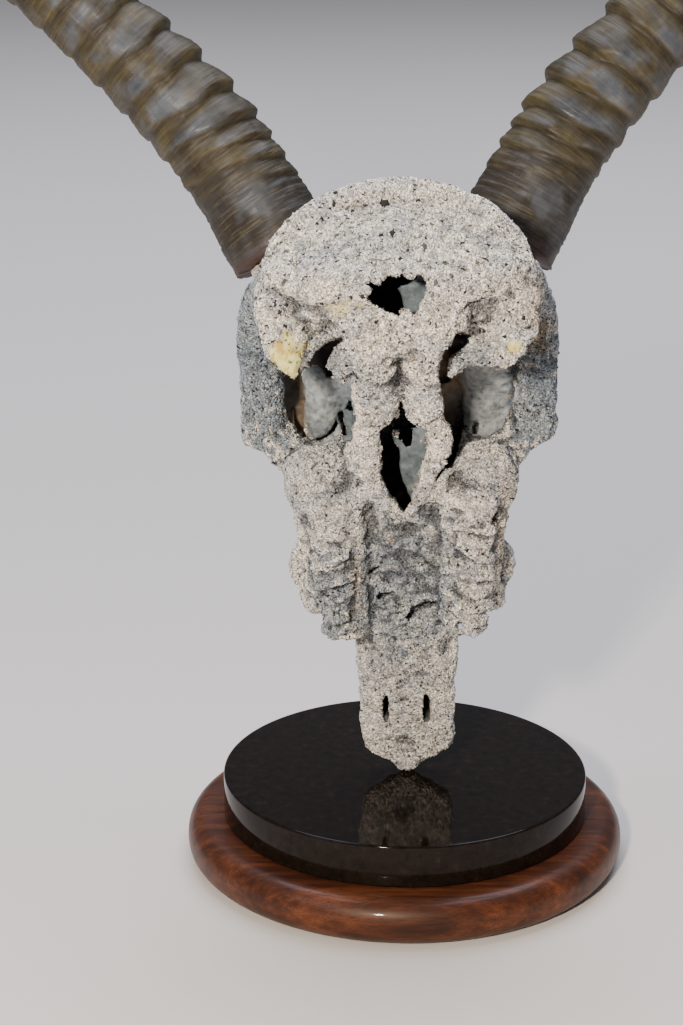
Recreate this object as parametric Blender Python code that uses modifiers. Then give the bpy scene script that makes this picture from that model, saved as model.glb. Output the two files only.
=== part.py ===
# Lechwe skull under a crust of stone chips, standing on its nose on a granite disc and a walnut base.
# Units are metres. +Z is up, the origin is the centre of the walnut base's underside,
# and the skull's underside looks towards -Y. Skull sizes include the crust.
# The skull is shaped in its own frame, in millimetres: x to the side, y from the palate towards the
# forehead, z from the nose tip towards the back of the head. An empty then leans it into its pose.
import functools
import math

import bmesh
import bpy
from mathutils import Matrix, Vector

MM = 0.001
GAP = 0.0003                        # what touching pieces keep between them
MERGE = 0.00001

# Base
WALNUT_RADIUS = 0.0915
WALNUT_THICK = 0.019
WALNUT_ROUND = 0.0085
GRANITE_RADIUS = 0.0762
GRANITE_THICK = 0.018
GRANITE_CHAMFER = 0.0010
DISC_STEPS = 48

# Pose of the skull on its nose
LEAN_BACK = math.radians(25.0)      # its top leans towards -Y
LEAN_SIDE = math.radians(1.8)       # and a little towards -X
NOSE_OFFSET = 0.0007                # of the middle line from the centre of the base

# Skull, in millimetres, crust included
HALF_ROSTRUM = 20.6
HALF_OCCIPUT = 49.0
HALF_BRAINCASE = 40.0
ORBIT_RADIUS = 20.0
TOOTH_ROW_START = 89.0
TOOTH_LENGTHS = (9.0, 10.5, 10.5, 13.0, 14.0, 13.0)
TOOTH_INNER = 20.0
TOOTH_OUTER = 35.0
TOOTH_DROP = 12.0
SLIT_SIZE = (2.4, 30.0, 16.0)       # through the beak, on each side
SLIT_PLACE = (8.3, 4.0, 37.5)
THROAT_DEPTHS = (-14, 22)
THROAT_OUTLINE = ((1, 144), (4.5, 155), (8, 166), (9, 184), (-7.5, 184), (-7.5, 166), (-4.5, 156))

# How the skull is meshed
VOXEL = 0.0019
HOLLOW_VOXEL = 0.0015
SKULL_TRIANGLES = 5600

# Horns: centre of each rim in the skull's frame, in millimetres, then sizes in metres
HORN_RIM = (42.3, 85.0, 207.0)
HORN_LENGTH = 0.62
HORN_RIM_RADIUS = 0.0209
HORN_TIP_RADIUS = 0.0030
HORN_TAPER = 0.95                   # 1 is a straight cone, less thins the lower part sooner
HORN_DEPTH = 1.06                   # front to back, as a share of its width
HORN_RINGED = 0.45                  # length that carries rings
HORN_PLAIN_START = 0.030
HORN_RING_PITCH = 0.0150            # at the rim; closer further up
HORN_RING_HEIGHT = 0.11             # share of the radius, where a ring is highest
HORN_RING_FACE = math.radians(60.0) # that place, from the front towards the inner side
HORN_CORNERS = 12
# Along the horn, in metres: outward angle and angle towards +Y, in degrees, before the skull leans aside
HORN_SWEEP = (
    (0.00, 28.0, 20.0),
    (0.03, 31.5, 18.0),
    (0.055, 37.5, 16.0),
    (0.08, 43.0, 14.5),
    (0.11, 45.5, 12.0),
    (0.14, 47.0, 10.0),
    (0.18, 45.5, 8.0),
    (0.26, 31.0, 6.0),
    (0.35, 13.0, 10.0),
    (0.45, 1.0, 24.0),
    (0.54, -6.0, 40.0),
    (0.62, -9.0, 52.0),
)

# Where the skull is parted, in its own frame: normal and distance, in millimetres
MUZZLE_END = ((0, 1 / 3, 1), 164.0)
NASAL_FLOOR = ((0, -1, 0.343), -15.8)
BEAK_END = ((0, 0, 1), 72.0)
EYE_FLOOR = ((0, -1, 0), -39.4)
EYE_END = ((0, 0, 1), 216.0)
CHEEK_END = ((0, 0, 1), 228.0)
CHEEK_INNER = 39.4


def clear_scene():
    for old in list(bpy.data.objects):
        bpy.data.objects.remove(old)
    for old in list(bpy.data.collections):
        bpy.data.collections.remove(old)


def collection(name):
    made = bpy.data.collections.new(name)
    bpy.context.scene.collection.children.link(made)
    return made


def material(name, colour, roughness):
    made = bpy.data.materials.new(name)
    made.use_nodes = True
    shader = made.node_tree.nodes["Principled BSDF"]
    shader.inputs["Base Color"].default_value = (*colour, 1.0)
    shader.inputs["Roughness"].default_value = roughness
    return made


def object_with(mesh, name, home):
    made = bpy.data.objects.new(name, mesh)
    home.objects.link(made)
    return made


def object_from(points, faces, name, home):
    mesh = bpy.data.meshes.new(name)
    mesh.from_pydata(points, [], faces)
    return object_with(mesh, name, home)


def object_of(bm, name, home):
    mesh = bpy.data.meshes.new(name)
    bm.to_mesh(mesh)
    bm.free()
    return object_with(mesh, name, home)


def as_cutter(obj):
    obj.hide_render = True
    obj.display_type = "WIRE"
    return obj


def applied(obj):
    """The object with its modifiers applied."""
    graph = bpy.context.evaluated_depsgraph_get()
    mesh = bpy.data.meshes.new_from_object(obj.evaluated_get(graph))
    obj.modifiers.clear()
    old = obj.data
    obj.data = mesh
    bpy.data.meshes.remove(old)
    return obj


def boolean(obj, cutter, operation, solver="EXACT"):
    cut = obj.modifiers.new("cut", "BOOLEAN")
    cut.operation = operation
    cut.solver = solver
    cut.object = as_cutter(cutter)
    applied(obj)
    bpy.data.objects.remove(cutter)
    return obj


def keep_largest_body(obj):
    """Drops all but the largest closed surface."""
    bm = bmesh.new()
    bm.from_mesh(obj.data)
    left, largest = set(bm.verts), set()
    while left:
        body, edge = set(), [left.pop()]
        while edge:
            vert = edge.pop()
            if vert not in body:
                body.add(vert)
                edge.extend(e.other_vert(vert) for e in vert.link_edges)
        left -= body
        if len(body) > len(largest):
            largest = body
    bmesh.ops.delete(bm, geom=[v for v in bm.verts if v not in largest], context="VERTS")
    bm.to_mesh(obj.data)
    bm.free()
    return obj


# Building blocks of the skull

class Clay:
    """Points and faces of overlapping closed shapes, in millimetres."""

    def __init__(self):
        self.points = []
        self.faces = []

    def add(self, points, faces):
        start = len(self.points)
        self.points.extend(points)
        self.faces.extend(tuple(start + i for i in face) for face in faces)


@functools.cache
def unit_ball(around):
    """Points and faces of a sphere of radius 1, made once for each number of segments."""
    bm = bmesh.new()
    bmesh.ops.create_uvsphere(bm, u_segments=around, v_segments=around // 2, radius=1.0)
    bm.verts.index_update()
    made = [v.co.copy() for v in bm.verts], [[v.index for v in f.verts] for f in bm.faces]
    bm.free()
    return made


def ball(clay, centre, radii, tilt=0.0, square=2.0, around=14):
    """An ellipsoid, boxier where square is over 2. tilt, in degrees, turns it about the x axis."""
    points, faces = unit_ball(around)
    turn = Matrix.Rotation(math.radians(tilt), 3, "X")
    placed = []
    for point in points:
        reach = sum(abs(c) ** square for c in point) ** (-1 / square)
        shaped = Vector([c * reach * r for c, r in zip(point, radii)])
        placed.append(Vector(centre) + turn @ shaped)
    clay.add(placed, faces)


def strand(clay, stations, pitch=2.5):
    """A bar of ellipsoids run together. Each station is (x, y, z, rx, ry, rz)."""
    for start, end in zip(stations, stations[1:]):
        steps = max(1, math.ceil(math.dist(start[:3], end[:3]) / pitch))
        for i in range(steps + 1):
            now = [a + (b - a) * i / steps for a, b in zip(start, end)]
            ball(clay, now[:3], now[3:], around=12)


def both(clay, stations, pitch=2.5):
    """The same bar on the right and on the left."""
    for side in (1, -1):
        strand(clay, [(side * s[0], *s[1:]) for s in stations], pitch)


def rows_joined(rows, corners):
    """Faces of a closed skin over rows of points, with a flat end on each side."""
    faces = []
    for row in range(rows - 1):
        low, high = row * corners, (row + 1) * corners
        for i in range(corners):
            j = (i + 1) % corners
            faces.append((low + i, low + j, high + j, high + i))
    faces.append(tuple(reversed(range(corners))))
    faces.append(tuple(range((rows - 1) * corners, rows * corners)))
    return faces


def power(value, exponent):
    return math.copysign(abs(value) ** exponent, value)


def loft(clay, stations, corners=32, square=2.6):
    """Skin over rings square to z. Each station is (z, y_low, y_high, w_low, w_mid, w_high)."""
    points = []
    for z, y_low, y_high, w_low, w_mid, w_high in stations:
        middle, half = (y_low + y_high) / 2, (y_high - y_low) / 2
        for i in range(corners):
            turn = 2 * math.pi * i / corners
            up, out = power(math.sin(turn), 2 / square), power(math.cos(turn), 2 / square)
            width = w_mid + (w_high - w_mid) * up if up > 0 else w_mid + (w_low - w_mid) * -up
            points.append((width * out, middle + half * up, z))
    clay.add(points, rows_joined(len(stations), corners))


# Bones of the skull

def muzzle(clay):
    """Upper jaw and palate, from the gap in front of the teeth to the orbits."""
    loft(clay, [
        (60, 0, 34, HALF_ROSTRUM, HALF_ROSTRUM, 11),
        (76, 0, 45, HALF_ROSTRUM, 22, 12),
        (88, -1, 52, 28, 31, 13),
        (92, -2, 54, 33, 35, 13.5),
        (102, -2, 57, 35, 42, 14),
        (112, -2, 61, 34, 41, 16),
        (126, -2, 65, 33, 39.5, 19),
        (144, -1, 71, 33, 41, 25),
        (156, 2, 76, 32, 42, 36),
        (163, 10, 79, 28, 42, 42),
    ])
    for side in (1, -1):
        ball(clay, (side * 39, 16, 104), (5.5, 8, 9))
        ball(clay, (side * 35.5, 10, 96), (5.5, 9, 10))
        ball(clay, (side * 31, 9.5, 155), (13, 11, 14), square=2.6)


def premaxilla(clay):
    """The flat beak under the nose opening, and the bar that rises from it on each side."""
    loft(clay, [
        (6, -1, 6, 13, 14, 11),
        (9.5, -2, 8.5, 17.5, 18.2, 16),
        (16, -2, 9.5, 19.2, 19.7, 17.5),
        (48, 0, 11, HALF_ROSTRUM - 0.5, HALF_ROSTRUM - 0.2, 18.5),
        (66, 0, 14, HALF_ROSTRUM, HALF_ROSTRUM, 20),
    ], square=3.4)
    ball(clay, (0, 2.5, 6.5), (13.5, 4, 4.5))
    ball(clay, (0.5, -1.4, 5.7), (6.5, 4, 5.5))
    both(clay, [
        (15, 9, 18, 4.5, 4, 5),
        (16, 15, 38, 4.5, 6, 5),
        (15, 24, 58, 4.5, 10, 6),
        (13, 31, 76, 5, 11, 6),
    ])


def nasals(clay):
    """Two long bones along the top of the muzzle, their tips over the nose opening."""
    both(clay, [
        (4.5, 37.5, 56, 3.5, 2.8, 4),
        (6, 44, 70, 6, 3.8, 4),
        (8, 54, 92, 8, 4.5, 4),
        (10, 66, 130, 10, 5, 4),
        (12, 77, 160, 12, 5, 4),
    ])


def teeth(clay):
    """Six cheek teeth on each side, each of two rounded lobes."""
    middle, half = (TOOTH_INNER + TOOTH_OUTER) / 2, (TOOTH_OUTER - TOOTH_INNER) / 2
    for side in (1, -1):
        z = TOOTH_ROW_START
        for length in TOOTH_LENGTHS:
            for lobe in (0.27, 0.73):
                centre = (side * middle, 3 - TOOTH_DROP / 2, z + length * lobe)
                ball(clay, centre, (half, 3 + TOOTH_DROP / 2, length * 0.30), square=3.2)
            ball(clay, (side * middle, -1, z + length / 2), (half + 1, 9, length * 0.56), square=3.2)
            z += length


def frontals(clay):
    """Forehead, roofs of the orbits and the two horn pedicles."""
    ball(clay, (0, 70, 178), (44, 16, 32), tilt=-20, around=20)
    ball(clay, (0, 62, 198), (40, 26, 24), around=20)
    both(clay, [
        (40, 71, 163, 8, 7, 7),
        (45, 73, 176, 8, 6, 8),
        (46, 72, 190, 8, 6, 8),
    ])
    both(clay, [
        (24, 72, 190, 18, 14, 17),
        (33, 80, 200, 20, 17, 18),
        (38, 86, 208, 21, 18, 19),
    ])


def orbit_rims(clay):
    """Lacrimal bone in front of each orbit and the bar behind it."""
    both(clay, [
        (43, 65, 160, 9, 8, 7),
        (44, 48, 154, 8, 9, 6),
        (44, 34, 156, 8, 9, 7),
    ])
    both(clay, [
        (47, 72, 196, 6, 6, 6),
        (52, 60, 204, 5, 6, 5),
        (54, 46, 208, 5, 6, 5),
        (54, 34, 207, 5, 6, 6),
    ])


def cheek_arches(clay):
    """Zygomatic arches: broad in front, thin towards the ear."""
    both(clay, [
        (38, 22, 154, 8, 9, 7),
        (48, 28, 163, 8, 9, 6),
        (53, 30, 166, 7, 9, 6),
        (51.5, 30, 172, 8.5, 10, 7),
        (51.5, 31, 182, 8, 9, 7),
        (52.5, 32, 198, 7.5, 8, 7),
        (52.5, 32, 212, 7, 8, 6),
        (50, 29, 226, 6, 8, 6),
        (44, 24, 238, 8, 10, 7),
    ])
    ball(clay, (54, 29, 164), (7, 8, 7))


def braincase(clay):
    ball(clay, (0, 44, 222), (HALF_BRAINCASE, 33, 35), tilt=-14, around=28)
    ball(clay, (0, 66, 212), (34, 22, 26), around=20)
    ball(clay, (0, 50, 178), (17, 22, 26), around=20)
    for side in (1, -1):
        ball(clay, (side * 30, 28, 242), (17, 20, 18))


def occiput(clay):
    """Back of the head: a wide arched plate with a crest round its rim."""
    ball(clay, (0, 14, 251), (HALF_OCCIPUT - 1, 30, 13), tilt=-18, around=28)
    ball(clay, (0, 22, 253), (38, 25, 14), tilt=-18, around=28)
    rim = []
    for i in range(-8, 9):
        turn = math.radians(13 * i)
        x = (HALF_OCCIPUT - 4.5) * math.sin(turn)
        rim.append((x, 11 + 27 * math.cos(turn), 248.5 + 18.6 * math.cos(turn), 4.5, 4.5, 4.5))
    strand(clay, rim)
    ball(clay, (0, 32, 257), (8, 8, 7))


def condyles(clay):
    ball(clay, (0, -6, 243), (25, 12, 13), tilt=-20, around=20)
    both(clay, [
        (18, -4, 252, 8, 7, 7),
        (16, -12, 246, 8, 7, 8),
        (11, -14, 238, 8, 6, 8),
        (9, -9, 226, 8, 7, 8),
    ])


def skull_base(clay):
    """Bar of bone between the condyles and the throat, with its two front tubercles."""
    strand(clay, [
        (0, 0, 246, 20, 12, 9),
        (0, 4, 228, 16.5, 11, 9),
        (0, 9, 208, 15.5, 11, 9),
        (0, 22, 186, 12, 10, 9),
        (0, 32, 168, 12, 10, 9),
    ])
    both(clay, [
        (9, 0, 214, 8, 7, 8),
        (9.5, 2, 200, 8.3, 7.5, 7),
        (9.2, 4, 192, 7.2, 6, 5),
    ])
    for side in (1, -1):
        ball(clay, (side * 24, 18, 231), (9, 11, 10))
        ball(clay, (side * 27, 3, 244), (11, 10, 8))


def jugular_processes(clay):
    """Paroccipital processes, one below each end of the occiput."""
    both(clay, [
        (38, 12, 247, 10, 11, 8),
        (39, 1, 241, 9.5, 9, 7),
        (39.5, -8, 235, 8.5, 7, 5),
        (40, -13, 230.5, 5.5, 4, 3.5),
    ])


def throat_walls(clay):
    """Pterygoid and palatine plates on each side of the inner nose opening."""
    both(clay, [
        (9, 5, 148, 3.5, 6, 5),
        (12.5, 4, 158, 4.5, 8, 6),
        (15.5, 6, 170, 5.5, 7, 6),
        (15, 12, 179, 5, 8, 6),
    ])
    both(clay, [
        (13, 24, 164, 5, 12, 8),
        (13, 36, 186, 5, 14, 10),
        (15, 38, 206, 6, 14, 10),
    ])


# Hollows cut into the skull

def orbit_hollows(clay):
    inner = ORBIT_RADIUS - 2
    both(clay, [
        (64, 54, 181, 18, ORBIT_RADIUS, ORBIT_RADIUS),
        (46, 51, 181, 18, inner, inner),
        (33, 46, 178, 11, 14, 14),
    ], pitch=4.0)


def window_hollows(clay):
    """Open floor of each orbit and temple, down to the underside beside the throat."""
    both(clay, [
        (34, 46, 176, 8, 10, 11),
        (31, 31, 184, 12, 11, 15),
        (30, 14, 194, 12, 12, 20),
        (30, -8, 202, 12, 12, 22),
    ], pitch=4.0)
    both(clay, [(31, 22, 175, 11, 10, 11), (31, 32, 165, 10, 9, 9)], pitch=4.0)
    both(clay, [
        (44, 50, 222, 6, 16, 10),
        (42, 40, 216, 7, 16, 12),
        (37, 22, 210, 9, 16, 14),
        (34, 0, 206, 10, 14, 16),
    ], pitch=4.0)


def nose_hollow(clay):
    """The nose opening between the premaxillae, running back under the nasals."""
    strand(clay, [
        (0, 22, 22, 9.5, 11, 8),
        (0, 26, 40, 10, 14, 9),
        (0, 28, 56, 10, 13.5, 9),
        (0, 27, 76, 10, 13, 9),
        (0, 30, 100, 11, 13, 9),
    ], pitch=4.0)


def palate_hollow(clay):
    """Shallow vault of the palate between the tooth rows."""
    strand(clay, [(0, -7, 94, 15, 7, 9), (0, -7, 118, 17, 8.5, 9), (0, -6, 142, 17, 8, 9)], pitch=4.0)


def throat_hollow(clay):
    """What lies inside the inner nose opening, running forwards over the palate."""
    strand(clay, [(0.5, 6, 172, 7.4, 9, 9), (0.5, 16, 160, 8, 9, 12), (0.5, 26, 142, 9, 10, 10)], pitch=3.0)
    strand(clay, [
        (0.5, 7, 179, 7.4, 8, 7),
        (0.5, 22, 169, 8, 9, 9),
        (0.5, 34, 154, 8.5, 10, 11),
        (0.5, 42, 132, 9, 11, 14),
    ], pitch=3.0)


def brain_hollow(clay):
    """Foramen magnum, opening into the hollow braincase."""
    strand(clay, [
        (-0.5, -16, 266, 10.5, 8.5, 9),
        (-0.5, -8, 254, 10.5, 8.5, 8),
        (0, 6, 242, 12, 10, 9),
        (0, 32, 226, 24, 20, 16),
    ], pitch=3.0)


def ear_hollows(clay):
    """Gaps between the jugular processes and the base of the skull."""
    both(clay, [(26, -10, 230, 5, 8, 7), (27, 4, 224, 6, 9, 8)], pitch=3.0)


def fuse(obj, voxel):
    remesh = obj.modifiers.new("fuse", "REMESH")
    remesh.mode = "VOXEL"
    remesh.voxel_size = voxel


def moulded(shapes, name, home, voxel):
    """One closed mesh from overlapping shapes."""
    clay = Clay()
    for shape in shapes:
        shape(clay)
    made = object_from([Vector(p) * MM for p in clay.points], clay.faces, name, home)
    fuse(made, voxel)
    return applied(made)


def underside_slots(home):
    """A cutter for the two narrow slits through the beak and the pointed inner nose opening."""
    bm = bmesh.new()
    scale = Matrix.Diagonal((*(Vector(SLIT_SIZE) * MM), 1.0))
    for side in (1, -1):
        centre = Vector((side * SLIT_PLACE[0], *SLIT_PLACE[1:])) * MM
        bmesh.ops.create_cube(bm, size=1.0, matrix=Matrix.Translation(centre) @ scale)
    rings = [[bm.verts.new(Vector((x, y, z)) * MM) for x, z in THROAT_OUTLINE] for y in THROAT_DEPTHS]
    for ring in rings:
        bm.faces.new(ring)
    for i in range(len(THROAT_OUTLINE)):
        bm.faces.new((rings[0][i], rings[0][i - 1], rings[1][i - 1], rings[1][i]))
    bmesh.ops.recalc_face_normals(bm, faces=bm.faces)
    return object_of(bm, "underside_slots", home)


def horn_seat(side, home):
    """A cutter that ends the horn's pedicle just under the horn's rim."""
    into_skull = pose().inverted()
    along = (into_skull.to_3x3() @ direction(side, 0.0)).normalized()
    centre = Vector((side * HORN_RIM[0], *HORN_RIM[1:])) * MM
    deep = 0.060
    turn = along.to_track_quat("Z", "X").to_matrix().to_4x4()
    place = Matrix.Translation(centre + along * (deep / 2 - GAP)) @ turn
    bm = bmesh.new()
    wide = {"radius1": 0.032, "radius2": 0.040, "depth": deep}
    bmesh.ops.create_cone(bm, cap_ends=True, segments=24, matrix=place, **wide)
    return object_of(bm, "horn_seat", home)


def whole_skull(home, cutters):
    """The skull in its own frame, as one closed body."""
    skull = moulded(
        (muzzle, premaxilla, nasals, teeth, frontals, orbit_rims, cheek_arches, braincase, occiput,
         condyles, skull_base, jugular_processes, throat_walls),
        "skull", home, VOXEL,
    )
    hollows = moulded(
        (orbit_hollows, window_hollows, nose_hollow, palate_hollow, throat_hollow, brain_hollow,
         ear_hollows),
        "hollows", cutters, HOLLOW_VOXEL,
    )
    boolean(skull, hollows, "DIFFERENCE", "MANIFOLD")
    fuse(skull, VOXEL)
    soften = skull.modifiers.new("soften", "SMOOTH")
    soften.factor = 0.5
    soften.iterations = 3
    keep_largest_body(applied(skull))
    thin = skull.modifiers.new("thin", "DECIMATE")
    thin.ratio = SKULL_TRIANGLES / sum(len(p.vertices) - 2 for p in skull.data.polygons)
    applied(skull)
    boolean(skull, underside_slots(cutters), "DIFFERENCE")
    for side in (1, -1):
        boolean(skull, horn_seat(side, cutters), "DIFFERENCE")
    return keep_largest_body(skull)


# Parting the skull into its bones

def other_side(plane):
    """The far side of a plane, a gap away."""
    normal, distance = plane
    return tuple(-n for n in normal), -(distance + GAP / MM * Vector(normal).length)


def moved_out(plane):
    normal, distance = plane
    return normal, distance + GAP / MM * Vector(normal).length


def region(planes, home):
    """A large block, cut down to the side of each plane that its normal points away from."""
    bm = bmesh.new()
    bmesh.ops.create_cube(bm, size=1.2)
    for normal, distance in planes:
        n = Vector(normal)
        everything = list(bm.verts) + list(bm.edges) + list(bm.faces)
        on_plane = n * (distance * MM / n.length_squared)
        cut = bmesh.ops.bisect_plane(bm, geom=everything, plane_co=on_plane, plane_no=n, clear_outer=True)
        rim = [e for e in cut["geom_cut"] if isinstance(e, bmesh.types.BMEdge)]
        bmesh.ops.contextual_create(bm, geom=rim)
    bmesh.ops.recalc_face_normals(bm, faces=bm.faces)
    return object_of(bm, "region", home)


def parted(skull, home, cutters):
    """The skull parted into its bones, with gaps too thin to see."""
    cheek = [other_side(MUZZLE_END), other_side(EYE_FLOOR), CHEEK_END]
    regions = {
        "skull_premaxilla": [BEAK_END, other_side(NASAL_FLOOR)],
        "skull_maxilla_with_teeth": [other_side(BEAK_END), other_side(NASAL_FLOOR), MUZZLE_END],
        "skull_nasals": [NASAL_FLOOR, MUZZLE_END],
        "skull_frontals": [other_side(MUZZLE_END), EYE_FLOOR, EYE_END],
        "skull_cheek_arch_right": [*cheek, ((-1, 0, 0), -CHEEK_INNER)],
        "skull_cheek_arch_left": [*cheek, ((1, 0, 0), -CHEEK_INNER)],
    }
    bones = []
    for name, planes in regions.items():
        bone = object_with(skull.data.copy(), name, home)
        boolean(bone, region(planes, cutters), "INTERSECT")
        bones.append(keep_largest_body(bone))
        boolean(skull, region([moved_out(p) for p in planes], cutters), "DIFFERENCE")
    skull.name = "skull_braincase"
    return [*bones, keep_largest_body(skull)]


# Pose, horns and base

def pose():
    """From the skull's frame to the world."""
    lift = Matrix.Translation((NOSE_OFFSET, 0, WALNUT_THICK + GRANITE_THICK + GAP))
    return lift @ Matrix.Rotation(-LEAN_SIDE, 4, "Y") @ Matrix.Rotation(LEAN_BACK, 4, "X")


def direction(side, length):
    """Which way a horn runs at a length from its rim, in the world. It shares the skull's lean aside."""
    out, fore = HORN_SWEEP[-1][1:]
    for low, high in zip(HORN_SWEEP, HORN_SWEEP[1:]):
        if low[0] <= length <= high[0]:
            share = (length - low[0]) / (high[0] - low[0])
            out, fore = (a + (b - a) * share for a, b in zip(low[1:], high[1:]))
    out, fore = math.radians(out), math.radians(fore)
    upright = Vector((side * math.sin(out), math.cos(out) * math.sin(fore), math.cos(out) * math.cos(fore)))
    return Matrix.Rotation(-LEAN_SIDE, 3, "Y") @ upright


def horn_stations():
    """Lengths from the rim, each with what its ring adds as a share of the radius."""
    stations, length = [(0.0, 0.0), (HORN_PLAIN_START / 2, 0.0)], HORN_PLAIN_START
    while length < HORN_RINGED:
        pitch = HORN_RING_PITCH * (1 - 0.35 * length / HORN_RINGED)
        fade = min(1.0, 0.25 + (HORN_RINGED - length) / 0.10)
        stations.append((length, 0.0))
        stations.append((length + 0.6 * pitch, HORN_RING_HEIGHT * fade))
        length += pitch
    while length < HORN_LENGTH - 0.012:
        stations.append((length, 0.0))
        length += 0.020
    return [*stations, (HORN_LENGTH - 0.004, 0.0), (HORN_LENGTH, -0.55)]


def horn(side, name, home):
    """A ringed horn along its sweep, with a flat rim. Its origin is the centre of the rim."""
    stations = horn_stations()
    points, place, done = [], Vector((0, 0, 0)), 0.0
    for length, bump in stations:
        while done < length - 1e-9:
            step = min(0.002, length - done)
            place = place + step * direction(side, done + step / 2)
            done += step
        along = direction(side, length)
        front = (Vector((0, 1, 0)) - along * along.y).normalized()
        across = along.cross(front)
        share = (length / HORN_LENGTH) ** HORN_TAPER
        radius = HORN_RIM_RADIUS * (1 - share) + HORN_TIP_RADIUS * share
        for i in range(HORN_CORNERS):
            turn = 2 * math.pi * i / HORN_CORNERS
            swell = radius * (1 + bump * (0.6 + 0.4 * math.cos(turn - side * HORN_RING_FACE)))
            points.append(place + swell * (front * math.cos(turn) * HORN_DEPTH + across * math.sin(turn)))
    made = object_from(points, rows_joined(len(stations), HORN_CORNERS), name, home)
    made.location = pose() @ (Vector((side * HORN_RIM[0], *HORN_RIM[1:])) * MM)
    return made


def turned(outline, name, home):
    """A solid turned about the z axis from (radius, height) points, top to bottom."""
    points = [(radius, 0, height) for radius, height in outline]
    mesh = bpy.data.meshes.new(name)
    mesh.from_pydata(points, [(i, i + 1) for i in range(len(points) - 1)], [])
    made = object_with(mesh, name, home)
    screw = made.modifiers.new("turn", "SCREW")
    screw.steps = DISC_STEPS
    screw.render_steps = DISC_STEPS
    screw.use_merge_vertices = True
    screw.merge_threshold = MERGE
    return made


def walnut_base(home):
    """Walnut disc with a round edge."""
    radius, middle, edge = WALNUT_RADIUS - WALNUT_ROUND, WALNUT_THICK / 2, WALNUT_ROUND
    outline = [(0, WALNUT_THICK)]
    for lift, turns in ((middle - edge, range(90, -1, -18)), (edge - middle, range(0, -91, -18))):
        for degrees in turns:
            turn = math.radians(degrees)
            outline.append((radius + edge * math.cos(turn), middle + lift + edge * math.sin(turn)))
    outline.append((0, 0))
    return turned(outline, "stand_walnut_base", home)


def granite_disc(home):
    """Polished granite disc with a fine chamfer."""
    low, high = WALNUT_THICK + GAP, WALNUT_THICK + GRANITE_THICK
    outline = [
        (0, high),
        (GRANITE_RADIUS - GRANITE_CHAMFER, high),
        (GRANITE_RADIUS, high - GRANITE_CHAMFER),
        (GRANITE_RADIUS, low),
        (0, low),
    ]
    return turned(outline, "stand_granite_disc", home)


def main():
    clear_scene()
    home = collection("lechwe_skull")
    cutters = collection("cutters")
    crust = material("crust", (0.52, 0.47, 0.43), 0.95)
    keratin = material("horn", (0.17, 0.135, 0.10), 0.5)

    walnut_base(home).data.materials.append(material("walnut", (0.17, 0.055, 0.025), 0.2))
    granite_disc(home).data.materials.append(material("granite", (0.012, 0.012, 0.013), 0.08))

    lean = object_with(None, "skull_pose", home)
    lean.matrix_world = pose()
    for bone in parted(whole_skull(home, cutters), home, cutters):
        bone.data.materials.clear()
        bone.data.materials.append(crust)
        bone.parent = lean
    for side, name in ((1, "horn_right"), (-1, "horn_left")):
        made = horn(side, name, home)
        made.data.materials.append(keratin)
        made.data.shade_smooth()
        made.data.set_sharp_from_angle(angle=math.radians(50))


main()
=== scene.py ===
import math

import bmesh
import bpy
import numpy as np
from mathutils import Matrix, Vector, noise
from mathutils.geometry import tessellate_polygon


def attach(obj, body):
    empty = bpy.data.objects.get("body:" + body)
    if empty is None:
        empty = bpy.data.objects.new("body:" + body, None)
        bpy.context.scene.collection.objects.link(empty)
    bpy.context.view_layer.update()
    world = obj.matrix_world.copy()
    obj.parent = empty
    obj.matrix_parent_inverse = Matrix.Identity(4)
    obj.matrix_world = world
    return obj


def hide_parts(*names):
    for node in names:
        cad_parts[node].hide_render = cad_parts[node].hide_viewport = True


# A lechwe skull under a crust of stone chips, on a polished granite disc and a walnut base.
# The skull is shaped in its own frame, in millimetres: x to the side, y from the palate to the
# forehead, z from the nose tip to the back of the head. atPose leans it as it stands.

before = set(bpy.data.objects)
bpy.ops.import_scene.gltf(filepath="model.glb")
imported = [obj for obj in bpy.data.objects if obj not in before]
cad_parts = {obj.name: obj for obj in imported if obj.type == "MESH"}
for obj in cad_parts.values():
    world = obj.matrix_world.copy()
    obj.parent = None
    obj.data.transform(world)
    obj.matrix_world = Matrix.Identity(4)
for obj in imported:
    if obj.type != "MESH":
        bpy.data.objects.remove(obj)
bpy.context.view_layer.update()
rng = np.random.default_rng(20)
mm = 0.001


# small helpers

def deselectAll():
    bpy.ops.object.select_all(action="DESELECT")


def pick(obj):
    deselectAll()
    obj.select_set(True)
    bpy.context.view_layer.objects.active = obj


def finishModifier(obj, modifier):
    pick(obj)
    bpy.ops.object.modifier_apply(modifier=modifier.name)


def quickMesh(name, points, triangles):
    # a mesh straight from arrays, for shapes of many thousand faces
    mesh = bpy.data.meshes.new(name)
    mesh.vertices.add(len(points))
    mesh.vertices.foreach_set("co", np.asarray(points, dtype=np.float32).ravel())
    mesh.loops.add(triangles.size)
    mesh.loops.foreach_set("vertex_index", triangles.astype(np.int32).ravel())
    mesh.polygons.add(len(triangles))
    mesh.polygons.foreach_set("loop_start", np.arange(0, triangles.size, 3, dtype=np.int32))
    mesh.update(calc_edges=True)
    obj = bpy.data.objects.new(name, mesh)
    bpy.context.scene.collection.objects.link(obj)
    return obj


def pointsOf(obj):
    values = np.empty(len(obj.data.vertices) * 3, dtype=np.float32)
    obj.data.vertices.foreach_get("co", values)
    return values.reshape(-1, 3).astype(float)


def putPoints(obj, points):
    obj.data.vertices.foreach_set("co", np.asarray(points, dtype=np.float32).ravel())
    obj.data.update()


def normalsOf(obj):
    values = np.empty(len(obj.data.vertices) * 3, dtype=np.float32)
    obj.data.vertex_normals.foreach_get("vector", values)
    return values.reshape(-1, 3).astype(float)


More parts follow.
